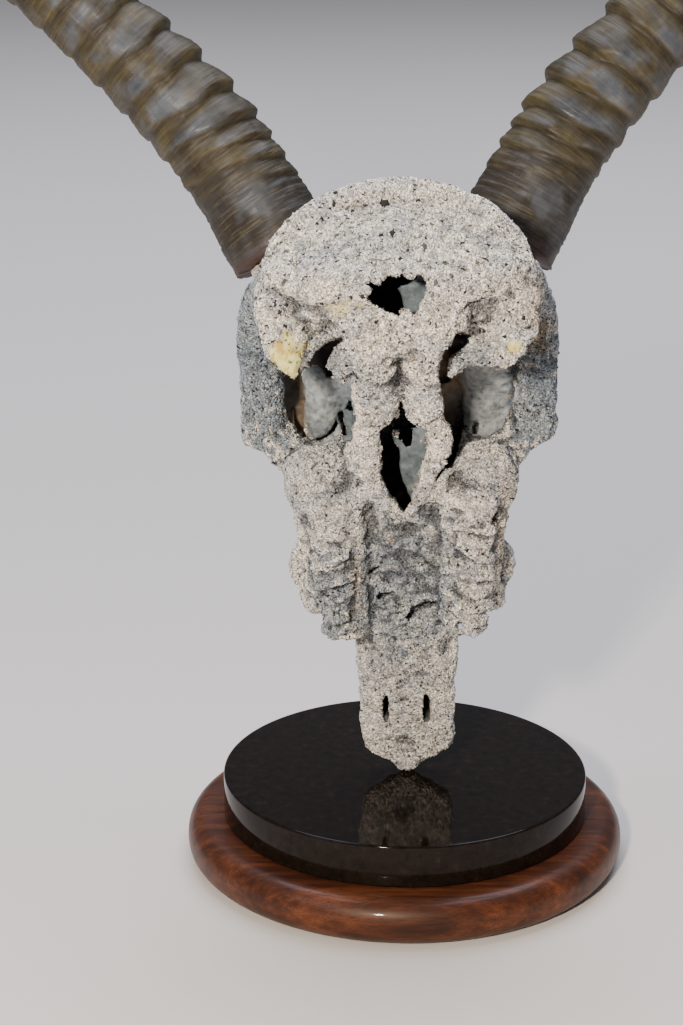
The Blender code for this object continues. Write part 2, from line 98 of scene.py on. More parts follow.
def trianglesOf(obj):
    mesh = obj.data
    mesh.calc_loop_triangles()
    values = np.empty(len(mesh.loop_triangles) * 3, dtype=np.int32)
    mesh.loop_triangles.foreach_get("vertices", values)
    return values.reshape(-1, 3)


def putNumber(obj, name, values):
    layer = obj.data.attributes.new(name, "FLOAT", "POINT")
    layer.data.foreach_set("value", np.asarray(values, dtype=np.float32))


def putVector(obj, name, values):
    layer = obj.data.attributes.new(name, "FLOAT_VECTOR", "POINT")
    layer.data.foreach_set("vector", np.asarray(values, dtype=np.float32).ravel())


def roughField(points, size, seed):
    # smooth noise of about -1 to 1 at each point; size is the width of its lumps
    shift = Vector((seed * 7.3, seed * 3.1, seed * 5.7))
    return np.array([noise.noise(Vector(p) / size + shift) for p in points]) * 1.6


def fade(values, low, high):
    # 0 below low, 1 above high, smooth between
    t = np.clip((values - low) / (high - low), 0, 1)
    return t * t * (3 - 2 * t)


# colours and materials

def colour(r, g, b):
    # a screen colour, 0 to 255, as the light values that Blender works in
    made = []
    for c in (r / 255, g / 255, b / 255):
        made.append(c / 12.92 if c <= 0.04045 else ((c + 0.055) / 1.055) ** 2.4)
    return (*made, 1.0)


def stops(shades):
    # the stops of a ramp, from places and screen colours
    return [(position, colour(*shade)) for position, shade in shades]


class Paint:
    # one node material, built step by step
    def __init__(self, name, **settings):
        self.material = bpy.data.materials.new(name)
        self.material.use_nodes = True
        self.tree = self.material.node_tree
        self.shader = self.tree.nodes["Principled BSDF"]
        for socket, value in settings.items():
            self.shader.inputs[socket.replace("_", " ")].default_value = value

    def node(self, kind, **sockets):
        made = self.tree.nodes.new(kind)
        for socket, value in sockets.items():
            socket = socket.replace("_", " ")
            if isinstance(value, bpy.types.NodeSocket):
                self.tree.links.new(value, made.inputs[socket])
            else:
                made.inputs[socket].default_value = value
        return made

    def link(self, output, socket):
        self.tree.links.new(output, self.shader.inputs[socket])

    def place(self, scale=(1, 1, 1), turn=(0, 0, 0), source="Object"):
        if source == "Object":
            start = self.node("ShaderNodeTexCoord").outputs["Object"]
        else:
            start = self.attribute(source, "Vector")
        return self.node("ShaderNodeMapping", Vector=start, Scale=scale, Rotation=turn).outputs["Vector"]

    def attribute(self, name, output="Fac"):
        made = self.node("ShaderNodeAttribute")
        made.attribute_name = name
        return made.outputs[output]

    def noise(self, place, scale, detail=4.0, roughness=0.55):
        made = self.node("ShaderNodeTexNoise", Vector=place, Scale=scale, Detail=detail, Roughness=roughness)
        return made.outputs["Fac"]

    def ramp(self, value, stops, hard=False):
        made = self.node("ShaderNodeValToRGB", Fac=value)
        strip = made.color_ramp
        strip.interpolation = "CONSTANT" if hard else "LINEAR"
        while len(strip.elements) < len(stops):
            strip.elements.new(0.5)
        for element, (position, shade) in zip(strip.elements, stops):
            element.position = position
            element.color = shade if len(shade) == 4 else (*shade, 1.0)
        return made.outputs["Color"]

    def spread(self, value, low, high, toLow=0.0, toHigh=1.0):
        made = self.node("ShaderNodeMapRange", Value=value, From_Min=low, From_Max=high,
                         To_Min=toLow, To_Max=toHigh)
        return made.outputs["Result"]

    def blend(self, share, first, second, kind="MIX"):
        made = self.tree.nodes.new("ShaderNodeMix")
        made.data_type = "RGBA"
        made.blend_type = kind
        for index, value in ((0, share), (6, first), (7, second)):
            if isinstance(value, bpy.types.NodeSocket):
                self.tree.links.new(value, made.inputs[index])
            else:
                made.inputs[index].default_value = value
        return made.outputs[2]

    def maths(self, kind, first, second):
        made = self.tree.nodes.new("ShaderNodeMath")
        made.operation = kind
        for index, value in enumerate((first, second)):
            if isinstance(value, bpy.types.NodeSocket):
                self.tree.links.new(value, made.inputs[index])
            else:
                made.inputs[index].default_value = value
        return made.outputs[0]

    def bump(self, height, strength, distance, below=None):
        made = self.node("ShaderNodeBump", Height=height, Strength=strength, Distance=distance)
        if below is not None:
            self.tree.links.new(below, made.inputs["Normal"])
        return made.outputs["Normal"]


# camera, light and floor

view = {"place": (-0.02335, -0.89169, 0.436), "turn": 0.209, "down": 17.79, "lens": 80.78}


def addCamera():
    turned = math.radians(view["turn"])
    down = math.radians(view["down"])
    looking = Vector((-math.sin(turned), math.cos(turned), 0)) * math.cos(down) - Vector((0, 0, math.sin(down)))
    bpy.ops.object.camera_add(location=view["place"], rotation=looking.to_track_quat("-Z", "Y").to_euler())
    camera = bpy.context.object
    camera.data.sensor_fit = "AUTO"
    camera.data.sensor_width = 36
    camera.data.lens = view["lens"]
    bpy.context.scene.camera = camera


# each light: place, size, power, colour
studio = {
    "key": ((-0.22, -0.90, 0.53), 0.07, 14.3, colour(255, 244, 231)),
    "fill": ((-0.9, -0.6, 1.1), 0.7, 2.5, colour(214, 228, 255)),
    "top": ((0.1, 0.9, 3.0), 3.0, 150.0, colour(226, 234, 255)),
    "air": (colour(204, 212, 226), 0.30),
    "floor": 7.0,           # half its width
    "paper": colour(214, 205, 194),
}


def addLight(name, aim=(0, 0, 0.2)):
    place, size, power, tint = studio[name]
    facing = (Vector(aim) - Vector(place)).to_track_quat("-Z", "Y").to_euler()
    bpy.ops.object.light_add(type="AREA", location=place, rotation=facing)
    lamp = bpy.context.object
    lamp.name = name + " light"
    lamp.data.shape = "DISK"
    lamp.data.size = size
    lamp.data.energy = power
    lamp.data.color = tint[:3]


def addStudio():
    for name in ("key", "fill", "top"):
        addLight(name)
    air = bpy.data.worlds.new("studio air")
    air.use_nodes = True
    background = air.node_tree.nodes["Background"]
    background.inputs["Color"].default_value = studio["air"][0]
    background.inputs["Strength"].default_value = studio["air"][1]
    bpy.context.scene.world = air
    deselectAll()
    bpy.ops.mesh.primitive_plane_add(size=2 * studio["floor"], location=(0, 0, 0))
    floor = bpy.context.object
    floor.name = "floor"
    paper = Paint("pale paper", Roughness=0.9, Base_Color=studio["paper"])
    floor.data.materials.append(paper.material)


addCamera()
addStudio()
print("camera and studio ready")


# the skull's form

pose = {"back": 25.0, "aside": -1.8, "nose": (0.0007, 0.0, 0.0373)}
atPose = (Matrix.Translation(pose["nose"]) @ Matrix.Rotation(math.radians(pose["aside"]), 4, "Y")
          @ Matrix.Rotation(math.radians(pose["back"]), 4, "X"))
poseTurn = np.array(atPose.to_3x3())
poseShift = np.array(atPose.translation)

skull = {
    "voxel": 1.3,          # of the skin, in millimetres
    "hollowVoxel": 1.2,
    "notchSwell": 0.5,      # room for the chips on a notch's edge
    "lumps": (0.60, 8.0),   # how uneven the crust lies: height and width
    "pits": (0.55, 3.0),
    "frayed": ((-0.8, -9, 258), (18, 8, 15), 0.9, 2.3),     # the foramen's edge: middle, radii, height, width
    "evenBack": (246, 256, 0.35),           # the back of the head lies more evenly: from z, to z, by how much
    "hollows": ((10, 0.9), (70, 0.22)),     # smoothing rounds, and how much a millimetre of hollow tells
    "calmBack": (236, 252, 0.5),            # it tells less on the back of the head: from z, to z, by how much
    "calmTop": (20, 40, 0.35),              # and on the top, from y, to y, by how much
    "lowest": 0.03712,      # nothing of it sinks into the granite
    "softenings": (9, 1),   # rounds before the inner forms, and at the end
}

# ("loft", boxiness, rings of (z, y low, y high, half width low, middle, high))
# ("bar", stations of (x, y, z and three radii)), "bars" on both sides
# ("balls", boxiness, tilt, balls of (x, y, z and three radii)), on both sides where x isn't 0
bones = {
    "muzzle": [
        ("loft", 2.6, [(60, 0, 34, 20.6, 20.6, 11), (76, 0, 45, 20.6, 22, 12), (88, -1, 52, 28, 31, 13),
                       (92, -2, 54, 33, 35, 13.5), (102, -2, 57, 35, 42, 14), (112, -2, 61, 34, 41, 16),
                       (126, -2, 65, 33, 39.5, 19), (144, -1, 71, 33, 41, 25), (156, 2, 76, 32, 42, 36),
                       (163, 10, 79, 28, 42, 42)]),
        ("balls", 2.0, 0, [(39, 16, 104, 5.5, 8, 9), (35.5, 10, 96, 5.5, 9, 10)]),
        ("balls", 2.6, 0, [(31, 9.5, 155, 13, 11, 14)]),
        ("bars", [(37, 14, 156, 8, 9, 8), (34, 8, 146, 7.5, 8, 9), (33.5, 5, 128, 6.5, 7, 9),
                  (32.5, 4, 108, 6, 6, 8)]),
    ],
    "premaxilla": [
        ("loft", 3.4, [(6, -1, 6, 12, 13, 10), (9.5, -2, 8.5, 16.4, 17.2, 15.5), (12.5, -2, 9.2, 19, 19.4, 17.2),
                       (16, -2, 9.5, 19.3, 19.8, 17.5),
                       (48, 0, 11, 20.1, 20.4, 18.5), (66, 0, 14, 20.6, 20.6, 20)]),
        ("balls", 2.0, 0, [(0, 2.5, 6.5, 12.5, 4, 4.2)]),
        ("bar", [(-0.6, -1.4, 5.7, 6.2, 4, 5.5), (-0.6, -1.3, 5.9, 6.2, 4, 5.5)]),
        ("bars", [(15, 9, 18, 4.5, 4, 5), (16, 15, 38, 4.5, 6, 5), (15, 24, 58, 4.5, 10, 6),
                  (13, 31, 76, 5, 11, 6)]),
    ],
    "nasals": [
        ("bars", [(4.5, 37.5, 56, 3.5, 2.8, 4), (6, 44, 70, 6, 3.8, 4), (8, 54, 92, 8, 4.5, 4),
                  (10, 66, 130, 10, 5, 4), (12, 77, 160, 12, 5, 4)]),
    ],
    "frontals": [
        ("balls", 2.0, -20, [(0, 70, 178, 44, 16, 32)]),
        ("balls", 2.0, 0, [(0, 62, 198, 40, 26, 24)]),
        ("bars", [(40, 71, 163, 8, 7, 7), (45, 73, 176, 8, 6, 8), (46, 72, 190, 8, 6, 8)]),
        ("bars", [(24, 72, 190, 18, 14, 17), (33, 80, 200, 20, 17, 18), (38, 86, 208, 21, 18, 19)]),
    ],
    "orbit rims": [
        ("bars", [(43, 65, 160, 9, 8, 7), (44, 48, 154, 8, 9, 6), (44, 34, 156, 8, 9, 7)]),
        ("bars", [(47, 72, 196, 6, 6, 6), (52, 60, 204, 5, 6, 5), (54, 46, 208, 5, 6, 5), (54, 34, 207, 5, 6, 6)]),
    ],
    "cheek arches": [
        ("bars", [(38, 22, 154, 8, 9, 7), (48, 28, 163, 8, 9, 6), (53, 30, 166, 7, 9, 6),
                  (51.5, 30, 172, 8.5, 10, 7), (51.5, 31, 182, 8, 9, 7), (52.5, 32, 198, 7.5, 8, 7),
                  (52.5, 32, 212, 7, 8, 6), (50, 29, 226, 6, 8, 6), (44, 24, 238, 8, 10, 7)]),
        ("balls", 2.0, 0, [(54, 29, 164, 7, 8, 7)]),
    ],
    "braincase": [
        ("balls", 2.0, -14, [(0, 44, 222, 40, 33, 35)]),
        ("balls", 2.0, 0, [(0, 66, 212, 34, 22, 26), (0, 50, 178, 17, 22, 26), (30, 28, 242, 17, 20, 18)]),
    ],
    "occiput": [
        ("balls", 2.0, -18, [(0, 14, 251, 48, 30, 13), (0, 22, 253, 38, 25, 14)]),
        ("balls", 2.0, 0, [(0, 32, 257, 8, 8, 7)]),
    ],
    "condyles": [
        ("balls", 2.0, -20, [(0, -6, 243, 25, 12, 13)]),
        ("bars", [(18, -4, 252, 8, 7, 7), (16, -12, 246, 8, 7, 8), (11, -14, 238, 8, 6, 8), (9, -9, 226, 8, 7, 8)]),
    ],
    "skull base": [
        ("bar", [(0, 0, 246, 20, 12, 9), (0, 4, 228, 16.5, 11, 9), (0, 9, 208, 15.5, 11, 9),
                 (0, 22, 186, 12, 10, 9), (0, 32, 168, 12, 10, 9)]),
        ("bars", [(9, 0, 214, 8, 7, 8), (9.5, 2, 200, 8.3, 7.5, 7), (9.2, 4, 192, 7.2, 6, 5)]),
        ("balls", 2.0, 0, [(24, 18, 231, 9, 11, 10), (27, 3, 244, 11, 10, 8)]),
    ],
    "jugular processes": [
        ("bars", [(38, 12, 247, 10, 11, 8), (39.5, 2, 242, 8.5, 9, 7), (40.5, -6, 237, 7, 6, 5)]),
    ],
    "throat walls": [
        ("bars", [(9, 5, 148, 3.5, 6, 5), (12.5, 4, 158, 4.5, 8, 6), (15.5, 6, 170, 5.5, 7, 6),
                  (15, 12, 179, 5, 8, 6)]),
        ("bars", [(13, 24, 164, 5, 12, 8), (13, 36, 186, 5, 14, 10), (15, 38, 206, 6, 14, 10)]),
    ],
}

hollows = {
    "orbits": [("bars", [(64, 54, 181, 18, 20, 20), (46, 51, 181, 18, 18, 18), (33, 46, 178, 11, 14, 14)])],
    "windows": [
        ("bars", [(34, 46, 176, 8, 10, 11), (31, 31, 184, 12, 11, 15), (30, 14, 194, 12, 12, 20),
                  (30, -8, 202, 12, 12, 22)]),
        ("bars", [(31, 22, 175, 11, 10, 11), (31, 32, 165, 10, 9, 9)]),
        ("bars", [(44, 50, 222, 6, 16, 10), (42, 40, 216, 7, 16, 12), (37, 22, 210, 9, 16, 14),
                  (34, 0, 206, 10, 14, 16)]),
    ],
    "nose": [("bar", [(0, 22, 22, 9.5, 11, 8), (0, 26, 40, 10, 14, 9), (0, 28, 56, 10, 13.5, 9),
                      (0, 27, 76, 10, 13, 9), (0, 30, 100, 11, 13, 9)])],
    "palate": [("bar", [(0, -7, 94, 15, 7, 9), (0, -7, 118, 17, 8.5, 9), (0, -6.6, 136, 16, 7.6, 14),
                        (0, -7, 146, 12, 7, 14)])],
    "throat": [
        ("bar", [(1.5, 15, 172, 10.5, 6, 10), (1.5, 20, 160, 10.5, 9, 12), (1.5, 28, 142, 10, 10, 12)]),
        ("bar", [(1.5, 24, 172, 10.5, 9, 10), (1.5, 36, 154, 10, 10, 11), (1, 42, 132, 9.5, 11, 14)]),
        ("prism", 12, (0, 28), (0.02, -0.88), [
            (-9, 178), (12.5, 178), (11.5, 160), (9.5, 148), (6, 138), (1, 132), (-4, 137), (-8, 148), (-9.5, 160)]),
    ],
    "brain": [("bar", [(-0.5, 2, 250, 12.5, 8, 9), (0, 12, 240, 15, 10, 10), (0, 32, 226, 24, 20, 16)])],
    "ears": [("bars", [(26, -10, 230, 5, 8, 7), (27, 4, 224, 6, 9, 8)])],
}

# plates and lumps at the openings and inside them, and then the edges of the openings; these aren't
# the same on both sides. ("prism", y of the outline, its reach in y, how x and z run with y, outline of (x, z))
inner = {
    "brain wall": [("prism", 6, (0, 9), (0.02, -0.76), [
        (0.4, 250.1), (1.4, 248.8), (2.8, 248.7), (4.3, 250.4), (6.0, 252.1), (13.5, 253.1), (14, 236.4), (3.1, 236.7),
        (1.7, 239.9), (1.4, 243.9), (1.1, 246.1), (-0.3, 247.1)])],
    "septum": [("prism", 16, (0, 5), (0.02, -0.89), [
        (-3.4, 174), (-2.7, 169.5), (-1.6, 166.5), (-0.1, 164.9), (-0.2, 158.9), (-0.6, 155.8), (0.1, 150.7),
        (0.8, 147.6), (1.9, 146), (2.6, 142.3), (4.1, 138.1), (8, 134), (13.5, 140), (13.5, 175.4)])],
    "right lamella": [
        ("bar", [(13.5, 0, 191, 3.6, 4, 4), (14.8, -0.5, 182, 4.6, 4, 5), (13.0, -0.5, 173, 4.4, 4, 4),
                 (9.6, 0, 163, 3.0, 4, 4), (5.8, 0.4, 154, 2.4, 4, 4), (2.6, 1, 146, 2.2, 3.4, 3)]),
        ("bar", [(17.6, -0.5, 178.6, 2.2, 3, 2.6), (18.4, -0.5, 175.5, 1.8, 3, 1.8)]),
    ],
    "left lamella": [("bar", [(-12.6, 0, 189, 4.8, 4, 4), (-12.6, -0.4, 178, 5.6, 4, 5), (-11.4, -0.4, 168, 4.2, 4, 4),
                              (-9.6, 0, 159, 3.0, 4, 4), (-6, 0.6, 151, 2.6, 3.6, 3), (-1.6, 1, 144, 2.4, 3, 2.6)])],
    "left lumps": [
        ("bar", [(-29.5, 33, 185.5, 6.6, 6, 5), (-29.5, 32, 178, 6.6, 6, 6), (-29.2, 33, 166, 7.0, 6, 6),
                 (-29.4, 34, 160, 5.6, 6, 5)]),
        ("bar", [(-20.5, 34, 186, 6.0, 6, 5), (-20.0, 35, 176, 5.4, 5, 5)]),
        ("prism", 31, (0, 5), (-0.02, -0.86), [(-24, 170), (-22.4, 167), (-21.9, 159), (-23.5, 157), (-27, 166)]),
        ("prism", 31, (0, 5), (-0.02, -0.86), [(-20.8, 171), (-20, 163), (-18.8, 156), (-14, 156), (-14, 172)]),
        ("bar", [(-23, 6, 217, 3.2, 5, 4), (-21.5, 7, 210, 3.2, 5, 4)]),
    ],
    "right wall": [("bar", [(36, 33, 196, 12, 5, 6), (36, 38, 178, 12, 5, 8), (35, 41, 160, 11.5, 6, 6)]),
                   ("bar", [(19, 40, 190, 7, 5, 6), (19, 42, 176, 7, 5, 8), (19, 44, 160, 7, 6, 6)])],
    "left web": [("prism", -4, (0, 7), (-0.02, -0.80), [
        (-35.1, 238.9), (-31.8, 242.3), (-27.5, 244.8), (-22.7, 243.7), (-18.3, 237.3), (-15.4, 229.2), (-15.6, 219.1),
        (-20.3, 217.0), (-23.9, 215.8), (-27.4, 219.6), (-31.9, 221.6), (-35.4, 223.6)])],
    "left process": [("bar", [(-42, 2, 245, 8.5, 8, 6), (-41.2, -5, 237.3, 7.8, 6, 5.5), (-40.8, -9, 235.0, 6.8, 5, 5),
                              (-39.4, -12, 232.2, 5.0, 4, 4), (-38.2, -14, 229.6, 3.3, 3, 3),
                              (-37.6, -14.8, 227.6, 1.8, 2, 2)])],
    "right process": [
        ("bar", [(39.5, 2, 245, 10.5, 8, 6), (39.2, -4, 239, 9.6, 6, 5.5), (39.4, -7.5, 236.6, 8.2, 5, 5),
                 (38.6, -10.5, 233.8, 5.8, 4, 4), (37.2, -12.6, 231, 3.5, 3, 3), (36.7, -13.2, 229, 1.9, 2, 2)]),
        ("prism", -5, (0, 7), (0.05, -0.81), [
            (25.5, 233.8), (23.4, 230.3), (21.7, 228.1), (19.6, 226.8), (18.5, 224.1), (17.8, 221), (17.1, 218.7),
            (16, 215.1), (18.2, 217.3), (20.7, 219), (23.5, 220.8), (27.4, 222), (32, 221.3), (36.3, 221.6),
            (37.9, 227.9), (36.1, 234.7)]),
    ],
}

notches = {
    "throat": (3, (-16, 12.6), (0.02, -0.88), [
        (-4.3, 183.9), (-0.9, 184.3), (-0.2, 186.2), (0.2, 190.1), (-0.4, 194.9), (1, 195.3), (1.7, 191.9),
        (2.8, 187.6), (4.6, 184.6), (7.9, 184.4), (10.1, 182.4), (9, 177.1), (8.2, 171.2), (7, 165.2), (6.6, 159.7),
        (5.1, 155.2), (3.9, 150.1), (1.9, 145.5), (0.8, 144), (-0.7, 146.2), (-2.6, 149.8), (-4.4, 151.5),
        (-5.9, 155.6), (-6.9, 160.7), (-7.6, 164.8), (-6.4, 170.7), (-5.9, 175.7), (-6.5, 181.6)]),
    "septum hole": (13, (-2, 12), (0.02, -0.87), [
        (-0.4, 175.7), (4.5, 176.5), (4, 172), (3.6, 168.5), (2.5, 168.1), (1, 171.1), (-0.5, 172.2)]),
    "foramen": (-9, (-20, 13), (0.015, -0.763), [
        (-11.5, 261.9), (-10.1, 262.3), (-9.1, 263.1), (-8.4, 261.8), (-6.4, 261.3), (-5.6, 263), (-4.6, 263.8),
        (-3.9, 264.6), (-2.5, 265), (-1.9, 264.5), (-0.8, 264.9), (0.2, 264.9), (0.9, 266.1), (1.6, 264.8),
        (2.6, 264.4), (3.6, 263.5), (5.3, 263.4), (6, 264.7), (7.7, 265), (9, 263.3), (9.7, 261.1), (9.4, 258.6),
        (8.7, 255.1), (7.9, 252.1), (6.9, 249.8), (5.2, 246.8), (3.8, 249.6), (1, 249.8), (0.3, 247.2), (-0.4, 246.8),
        (-1.8, 248.1), (-3.1, 248.6), (-5.2, 249.6), (-6.9, 251.4), (-8.6, 252.8),
        (-9.6, 253.7), (-10.6, 255), (-10.2, 257.1),
        (-9.8, 259.3)]),
    "left gap": (1, (-22, 44), (-0.023, -0.807), [
        (-23.4, 230.4), (-21.6, 231.3), (-19.8, 230.8), (-19.5, 228.9), (-21.7, 227.2), (-23.2, 225.0),
        (-24.4, 222.3), (-25.5, 220.0), (-26.0, 217.8), (-24.6, 215.4), (-23.6, 212.6), (-25.8, 212.6),
        (-27.5, 216.4), (-29.6, 217.4), (-32.1, 218.0), (-33.1, 219.9), (-31.5, 222.1), (-29.7, 224.8),
        (-27.4, 227.9), (-25.2, 229.6)]),
    "left window": (14, (-14, 10), (-0.028, -0.84), [
        (-40, 202.5), (-40.7, 196.8), (-39.4, 191.9), (-38.2, 186.1), (-38.1, 179.7), (-37.6, 173.3), (-35.4, 172.2),
        (-32.1, 171), (-27.5, 171.9), (-21.9, 170.2), (-18.5, 170.5), (-16.5, 176.4), (-15.9, 186.2), (-17.6, 190.1),
        (-19.7, 196), (-21.7, 200.8), (-24.5, 204.7), (-27.4, 206.3), (-32.9, 207.4), (-36.7, 202.4)]),
    "left window edge": (30, (-10, 14), (-0.03, -0.86), [
        (-41.5, 192), (-41.2, 182), (-40.2, 172), (-39.6, 160), (-36.4, 157.5), (-36.6, 164), (-36.8, 172), (-37, 180),
        (-38, 192)]),
    "right window": (12, (-12, 10), (0.05, -0.85), [
        (14.2, 201.1), (14.9, 196.3), (15.7, 191.5), (16, 183.2), (17.9, 179.7), (19.4, 172.8), (20.5, 168.8),
        (22.4, 166.7), (22.8, 171.7), (26.9, 172), (34.4, 170.7), (41.1, 171.9), (44, 178.2), (45.2, 190.4),
        (45, 199.9), (41.9, 207.1), (38.6, 206.8), (33.2, 207.5), (28.4, 208.1), (24.4, 206.9), (21.5, 205.1),
        (19, 203.8), (17.1, 201.5)]),
    "right gap": (1, (-22, 44), (0.046, -0.809), [
        (20.5, 231.5), (22.7, 231.8), (25.2, 230.9), (24.8, 227.3), (23.4, 225.0), (20.9, 222.8), (18.8, 220.6),
        (17.7, 217.9), (17.4, 214.7), (17.7, 211.0), (17.4, 207.3), (14.1, 207.4), (13.8, 212.5), (14.1, 217.6),
        (15.2, 221.7), (17.4, 224.8), (19.1, 227.5)]),
    "right strip": (0, (-8, 40), (0.046, -0.857), [
        (14.1, 211.0), (14.4, 206.3), (15.2, 201.6), (15.5, 196.8), (15.5, 192.0), (17.4, 188.6), (18.8, 185.2),
        (19.2, 181.2), (18.5, 176.4), (17.4, 172.5), (19.6, 171.4), (21.4, 176.3), (22.1, 181.1), (23.2, 186.9),
        (23.1, 201.3), (22.4, 207.9), (19.5, 210.8)]),
    "throat slit": (-2, (-8, 40), (0.019, -0.852), [
        (-0.8, 203.9), (0.3, 202.9), (1.3, 199.5), (2.3, 195.2), (3.4, 190.9), (3.7, 188.9), (0.1, 189.1),
        (0.5, 192.4), (0.2, 196.7), (-0.5, 200.1)]),
    "lamella groove": (4, (-8, 12), (0.04, -0.89), [
        (19, 179.7), (20.6, 178.6), (20.8, 173.7), (20.2, 168.8), (19, 164.4), (16.4, 163.6), (13.4, 158.5),
        (12.6, 158.9), (13.8, 163.1), (16, 165.5), (17.2, 167.9), (15.7, 169), (17.9, 170.4), (19.8, 172.8),
        (19.8, 176.3)]),
    "arch pit": (16, (-8, 10), (-0.054, -0.82), [
        (-48.7, 206.9), (-47.2, 207.3), (-46.5, 205.4), (-44.3, 206.2), (-42.8, 205.7), (-44.8, 203.9), (-46, 201.6),
        (-47.1, 202.1), (-47.7, 204.5)]),
    "left slit": (30, (-4, 9), (-0.016, -0.86), [
        (-23.3, 171.4), (-21.7, 172.4), (-21.1, 167.8), (-20.5, 162.8), (-20.2, 158.7), (-18.7, 156.6), (-22.6, 156.7),
        (-21.7, 159.3), (-21.9, 165.4), (-23, 167.4)]),
    "left slit above": (31, (-4, 9), (-0.011, -0.844), [
        (-18.5, 175.9), (-16.3, 175.3), (-16.4, 172.3), (-18.7, 171.4), (-19.8, 172.4)]),
    "left slit below": (31, (-4, 9), (-0.029, -0.863), [
        (-36.2, 162.0), (-35.2, 158.9), (-33.3, 157.3), (-30.6, 158.2), (-27.8, 160.2), (-25.4, 163.1),
        (-23.8, 167.1), (-23.5, 165.1), (-25.1, 161.1), (-27.9, 158.1), (-30.7, 156.4), (-34.2, 156.1),
        (-36.0, 158.4)]),
    "wall slit": (36, (-4, 6), (0.06, -0.863), [
        (29.4, 159.8), (30.9, 159.2), (30.6, 155.1), (29.4, 152.1), (28.6, 154.7)]),
    "palate pit": (0, (-5, 5), (0.027, -1.008), [
        (2.9, 95.7), (5.6, 97.8), (8.8, 98.8), (11.9, 99.3), (13.9, 98.6), (12.7, 96.4), (10.3, 94.3), (7.2, 94.4),
        (4.8, 92.3), (3.2, 89.5), (0.8, 87.4), (0.0, 89.7), (2.0, 93.0)]),
    "palate arc": (0, (-5, 4), (0.0, -0.973), [
        (-13.6, 116.2), (-11.6, 118.3), (-9.3, 118.7), (-8.2, 117.6), (-10.5, 116.6), (-12.9, 114.5)]),
    "palate arc below": (0, (-5, 4), (0.005, -0.996), [
        (-10.8, 101.3), (-8.4, 103.4), (-5.3, 104.4), (-4.1, 102.7), (-6.9, 101.7), (-9.7, 100.1)]),
    "row hole": (-6, (-9, 5), (0.051, -1.025), [
        (19.5, 90.5), (20.7, 93.3), (22.3, 91.5), (23.5, 89.2), (21.5, 87.6), (19.5, 88.2)]),
}


class Clay:
    # points and triangles of overlapping closed shapes, in millimetres
    def __init__(self):
        self.points, self.triangles, self.count = [], [], 0

    def add(self, points, triangles):
        self.points.append(points)
        self.triangles.append(triangles + self.count)
        self.count += len(points)


roundBalls = {}


def roundBall(around):
    # points and triangles of one sphere, made once for each fineness and then copied
    if around not in roundBalls:
        deselectAll()
        bpy.ops.mesh.primitive_uv_sphere_add(segments=around, ring_count=around // 2, radius=1)
        obj = bpy.context.object
        roundBalls[around] = pointsOf(obj), trianglesOf(obj).astype(np.int64)
        bpy.data.objects.remove(obj)
    return roundBalls[around]


def addBall(clay, ballAt, boxy=2.0, tilt=0.0, around=14):
    points, triangles = roundBall(around)
    reach = (np.abs(points) ** boxy).sum(1) ** (-1 / boxy)
    shaped = points * reach[:, None] * np.array(ballAt[3:])
    if tilt:
        shaped = shaped @ np.array(Matrix.Rotation(math.radians(tilt), 3, "X")).T
    clay.add(shaped + np.array(ballAt[:3]), triangles)


def addBar(clay, stations, pitch=2.0):
    for start, end in zip(stations, stations[1:]):
        steps = max(1, math.ceil(math.dist(start[:3], end[:3]) / pitch))
        for i in range(steps + 1):
            addBall(clay, [a + (b - a) * i / steps for a, b in zip(start, end)])


def ringFaces(rows, corners):
    # triangles of a closed skin over rows of points, with a flat end on each side
    i = np.arange(corners)
    j = (i + 1) % corners
    made = []
    for row in range(rows - 1):
        low, high = row * corners, (row + 1) * corners
        made.append(np.stack((low + i, low + j, high + j), 1))
        made.append(np.stack((low + i, high + j, high + i), 1))
    fan = np.arange(1, corners - 1)
    last = (rows - 1) * corners
    made.append(np.stack((np.zeros_like(fan), fan + 1, fan), 1))
    made.append(np.stack((last + np.zeros_like(fan), last + fan, last + fan + 1), 1))
    return np.concatenate(made)


def addLoft(clay, boxy, rings, corners=48):
    turn = np.arange(corners) * 2 * math.pi / corners
    up, out = (np.sign(v) * np.abs(v) ** (2 / boxy) for v in (np.sin(turn), np.cos(turn)))
    points = []
    for z, yLow, yHigh, wLow, wMid, wHigh in rings:
        width = np.where(up > 0, wMid + (wHigh - wMid) * up, wMid - (wLow - wMid) * up)
        points.append(np.stack((width * out, (yLow + yHigh) / 2 + (yHigh - yLow) / 2 * up, z + 0 * up), 1))
    clay.add(np.concatenate(points), ringFaces(len(rings), corners))


def addPrism(clay, at, reach, runs, outline, swell=0.0):
    # a bar with a drawn outline, grown by swell, which runs obliquely into the skull
    corner = np.array(outline, float)
    after = np.roll(corner, -1, 0)
    if (corner[:, 0] * after[:, 1] - corner[:, 1] * after[:, 0]).sum() < 0:
        corner = corner[::-1]
    along = np.roll(corner, -1, 0) - np.roll(corner, 1, 0)
    outward = np.stack((along[:, 1], -along[:, 0]), 1)
    corner = corner + outward / np.linalg.norm(outward, axis=1)[:, None] * swell
    flat = [Vector((x, z, 0)) for x, z in corner]
    cap = np.array(tessellate_polygon([flat]))
    a, b, c = (corner[cap[:, k]] for k in range(3))
    turned = (b[:, 0] - a[:, 0]) * (c[:, 1] - a[:, 1]) - (b[:, 1] - a[:, 1]) * (c[:, 0] - a[:, 0]) < 0
    cap[turned] = cap[turned][:, ::-1]
    points = [np.stack((corner[:, 0] + runs[0] * deep, at + deep + 0 * corner[:, 0], corner[:, 1] + runs[1] * deep), 1)
              for deep in reach]
    count = len(corner)
    i = np.arange(count)
    j = (i + 1) % count
    sides = [np.stack((i, count + i, count + j), 1), np.stack((i, count + j, j), 1)]
    clay.add(np.concatenate(points), np.concatenate([cap, cap[:, ::-1] + count] + sides))


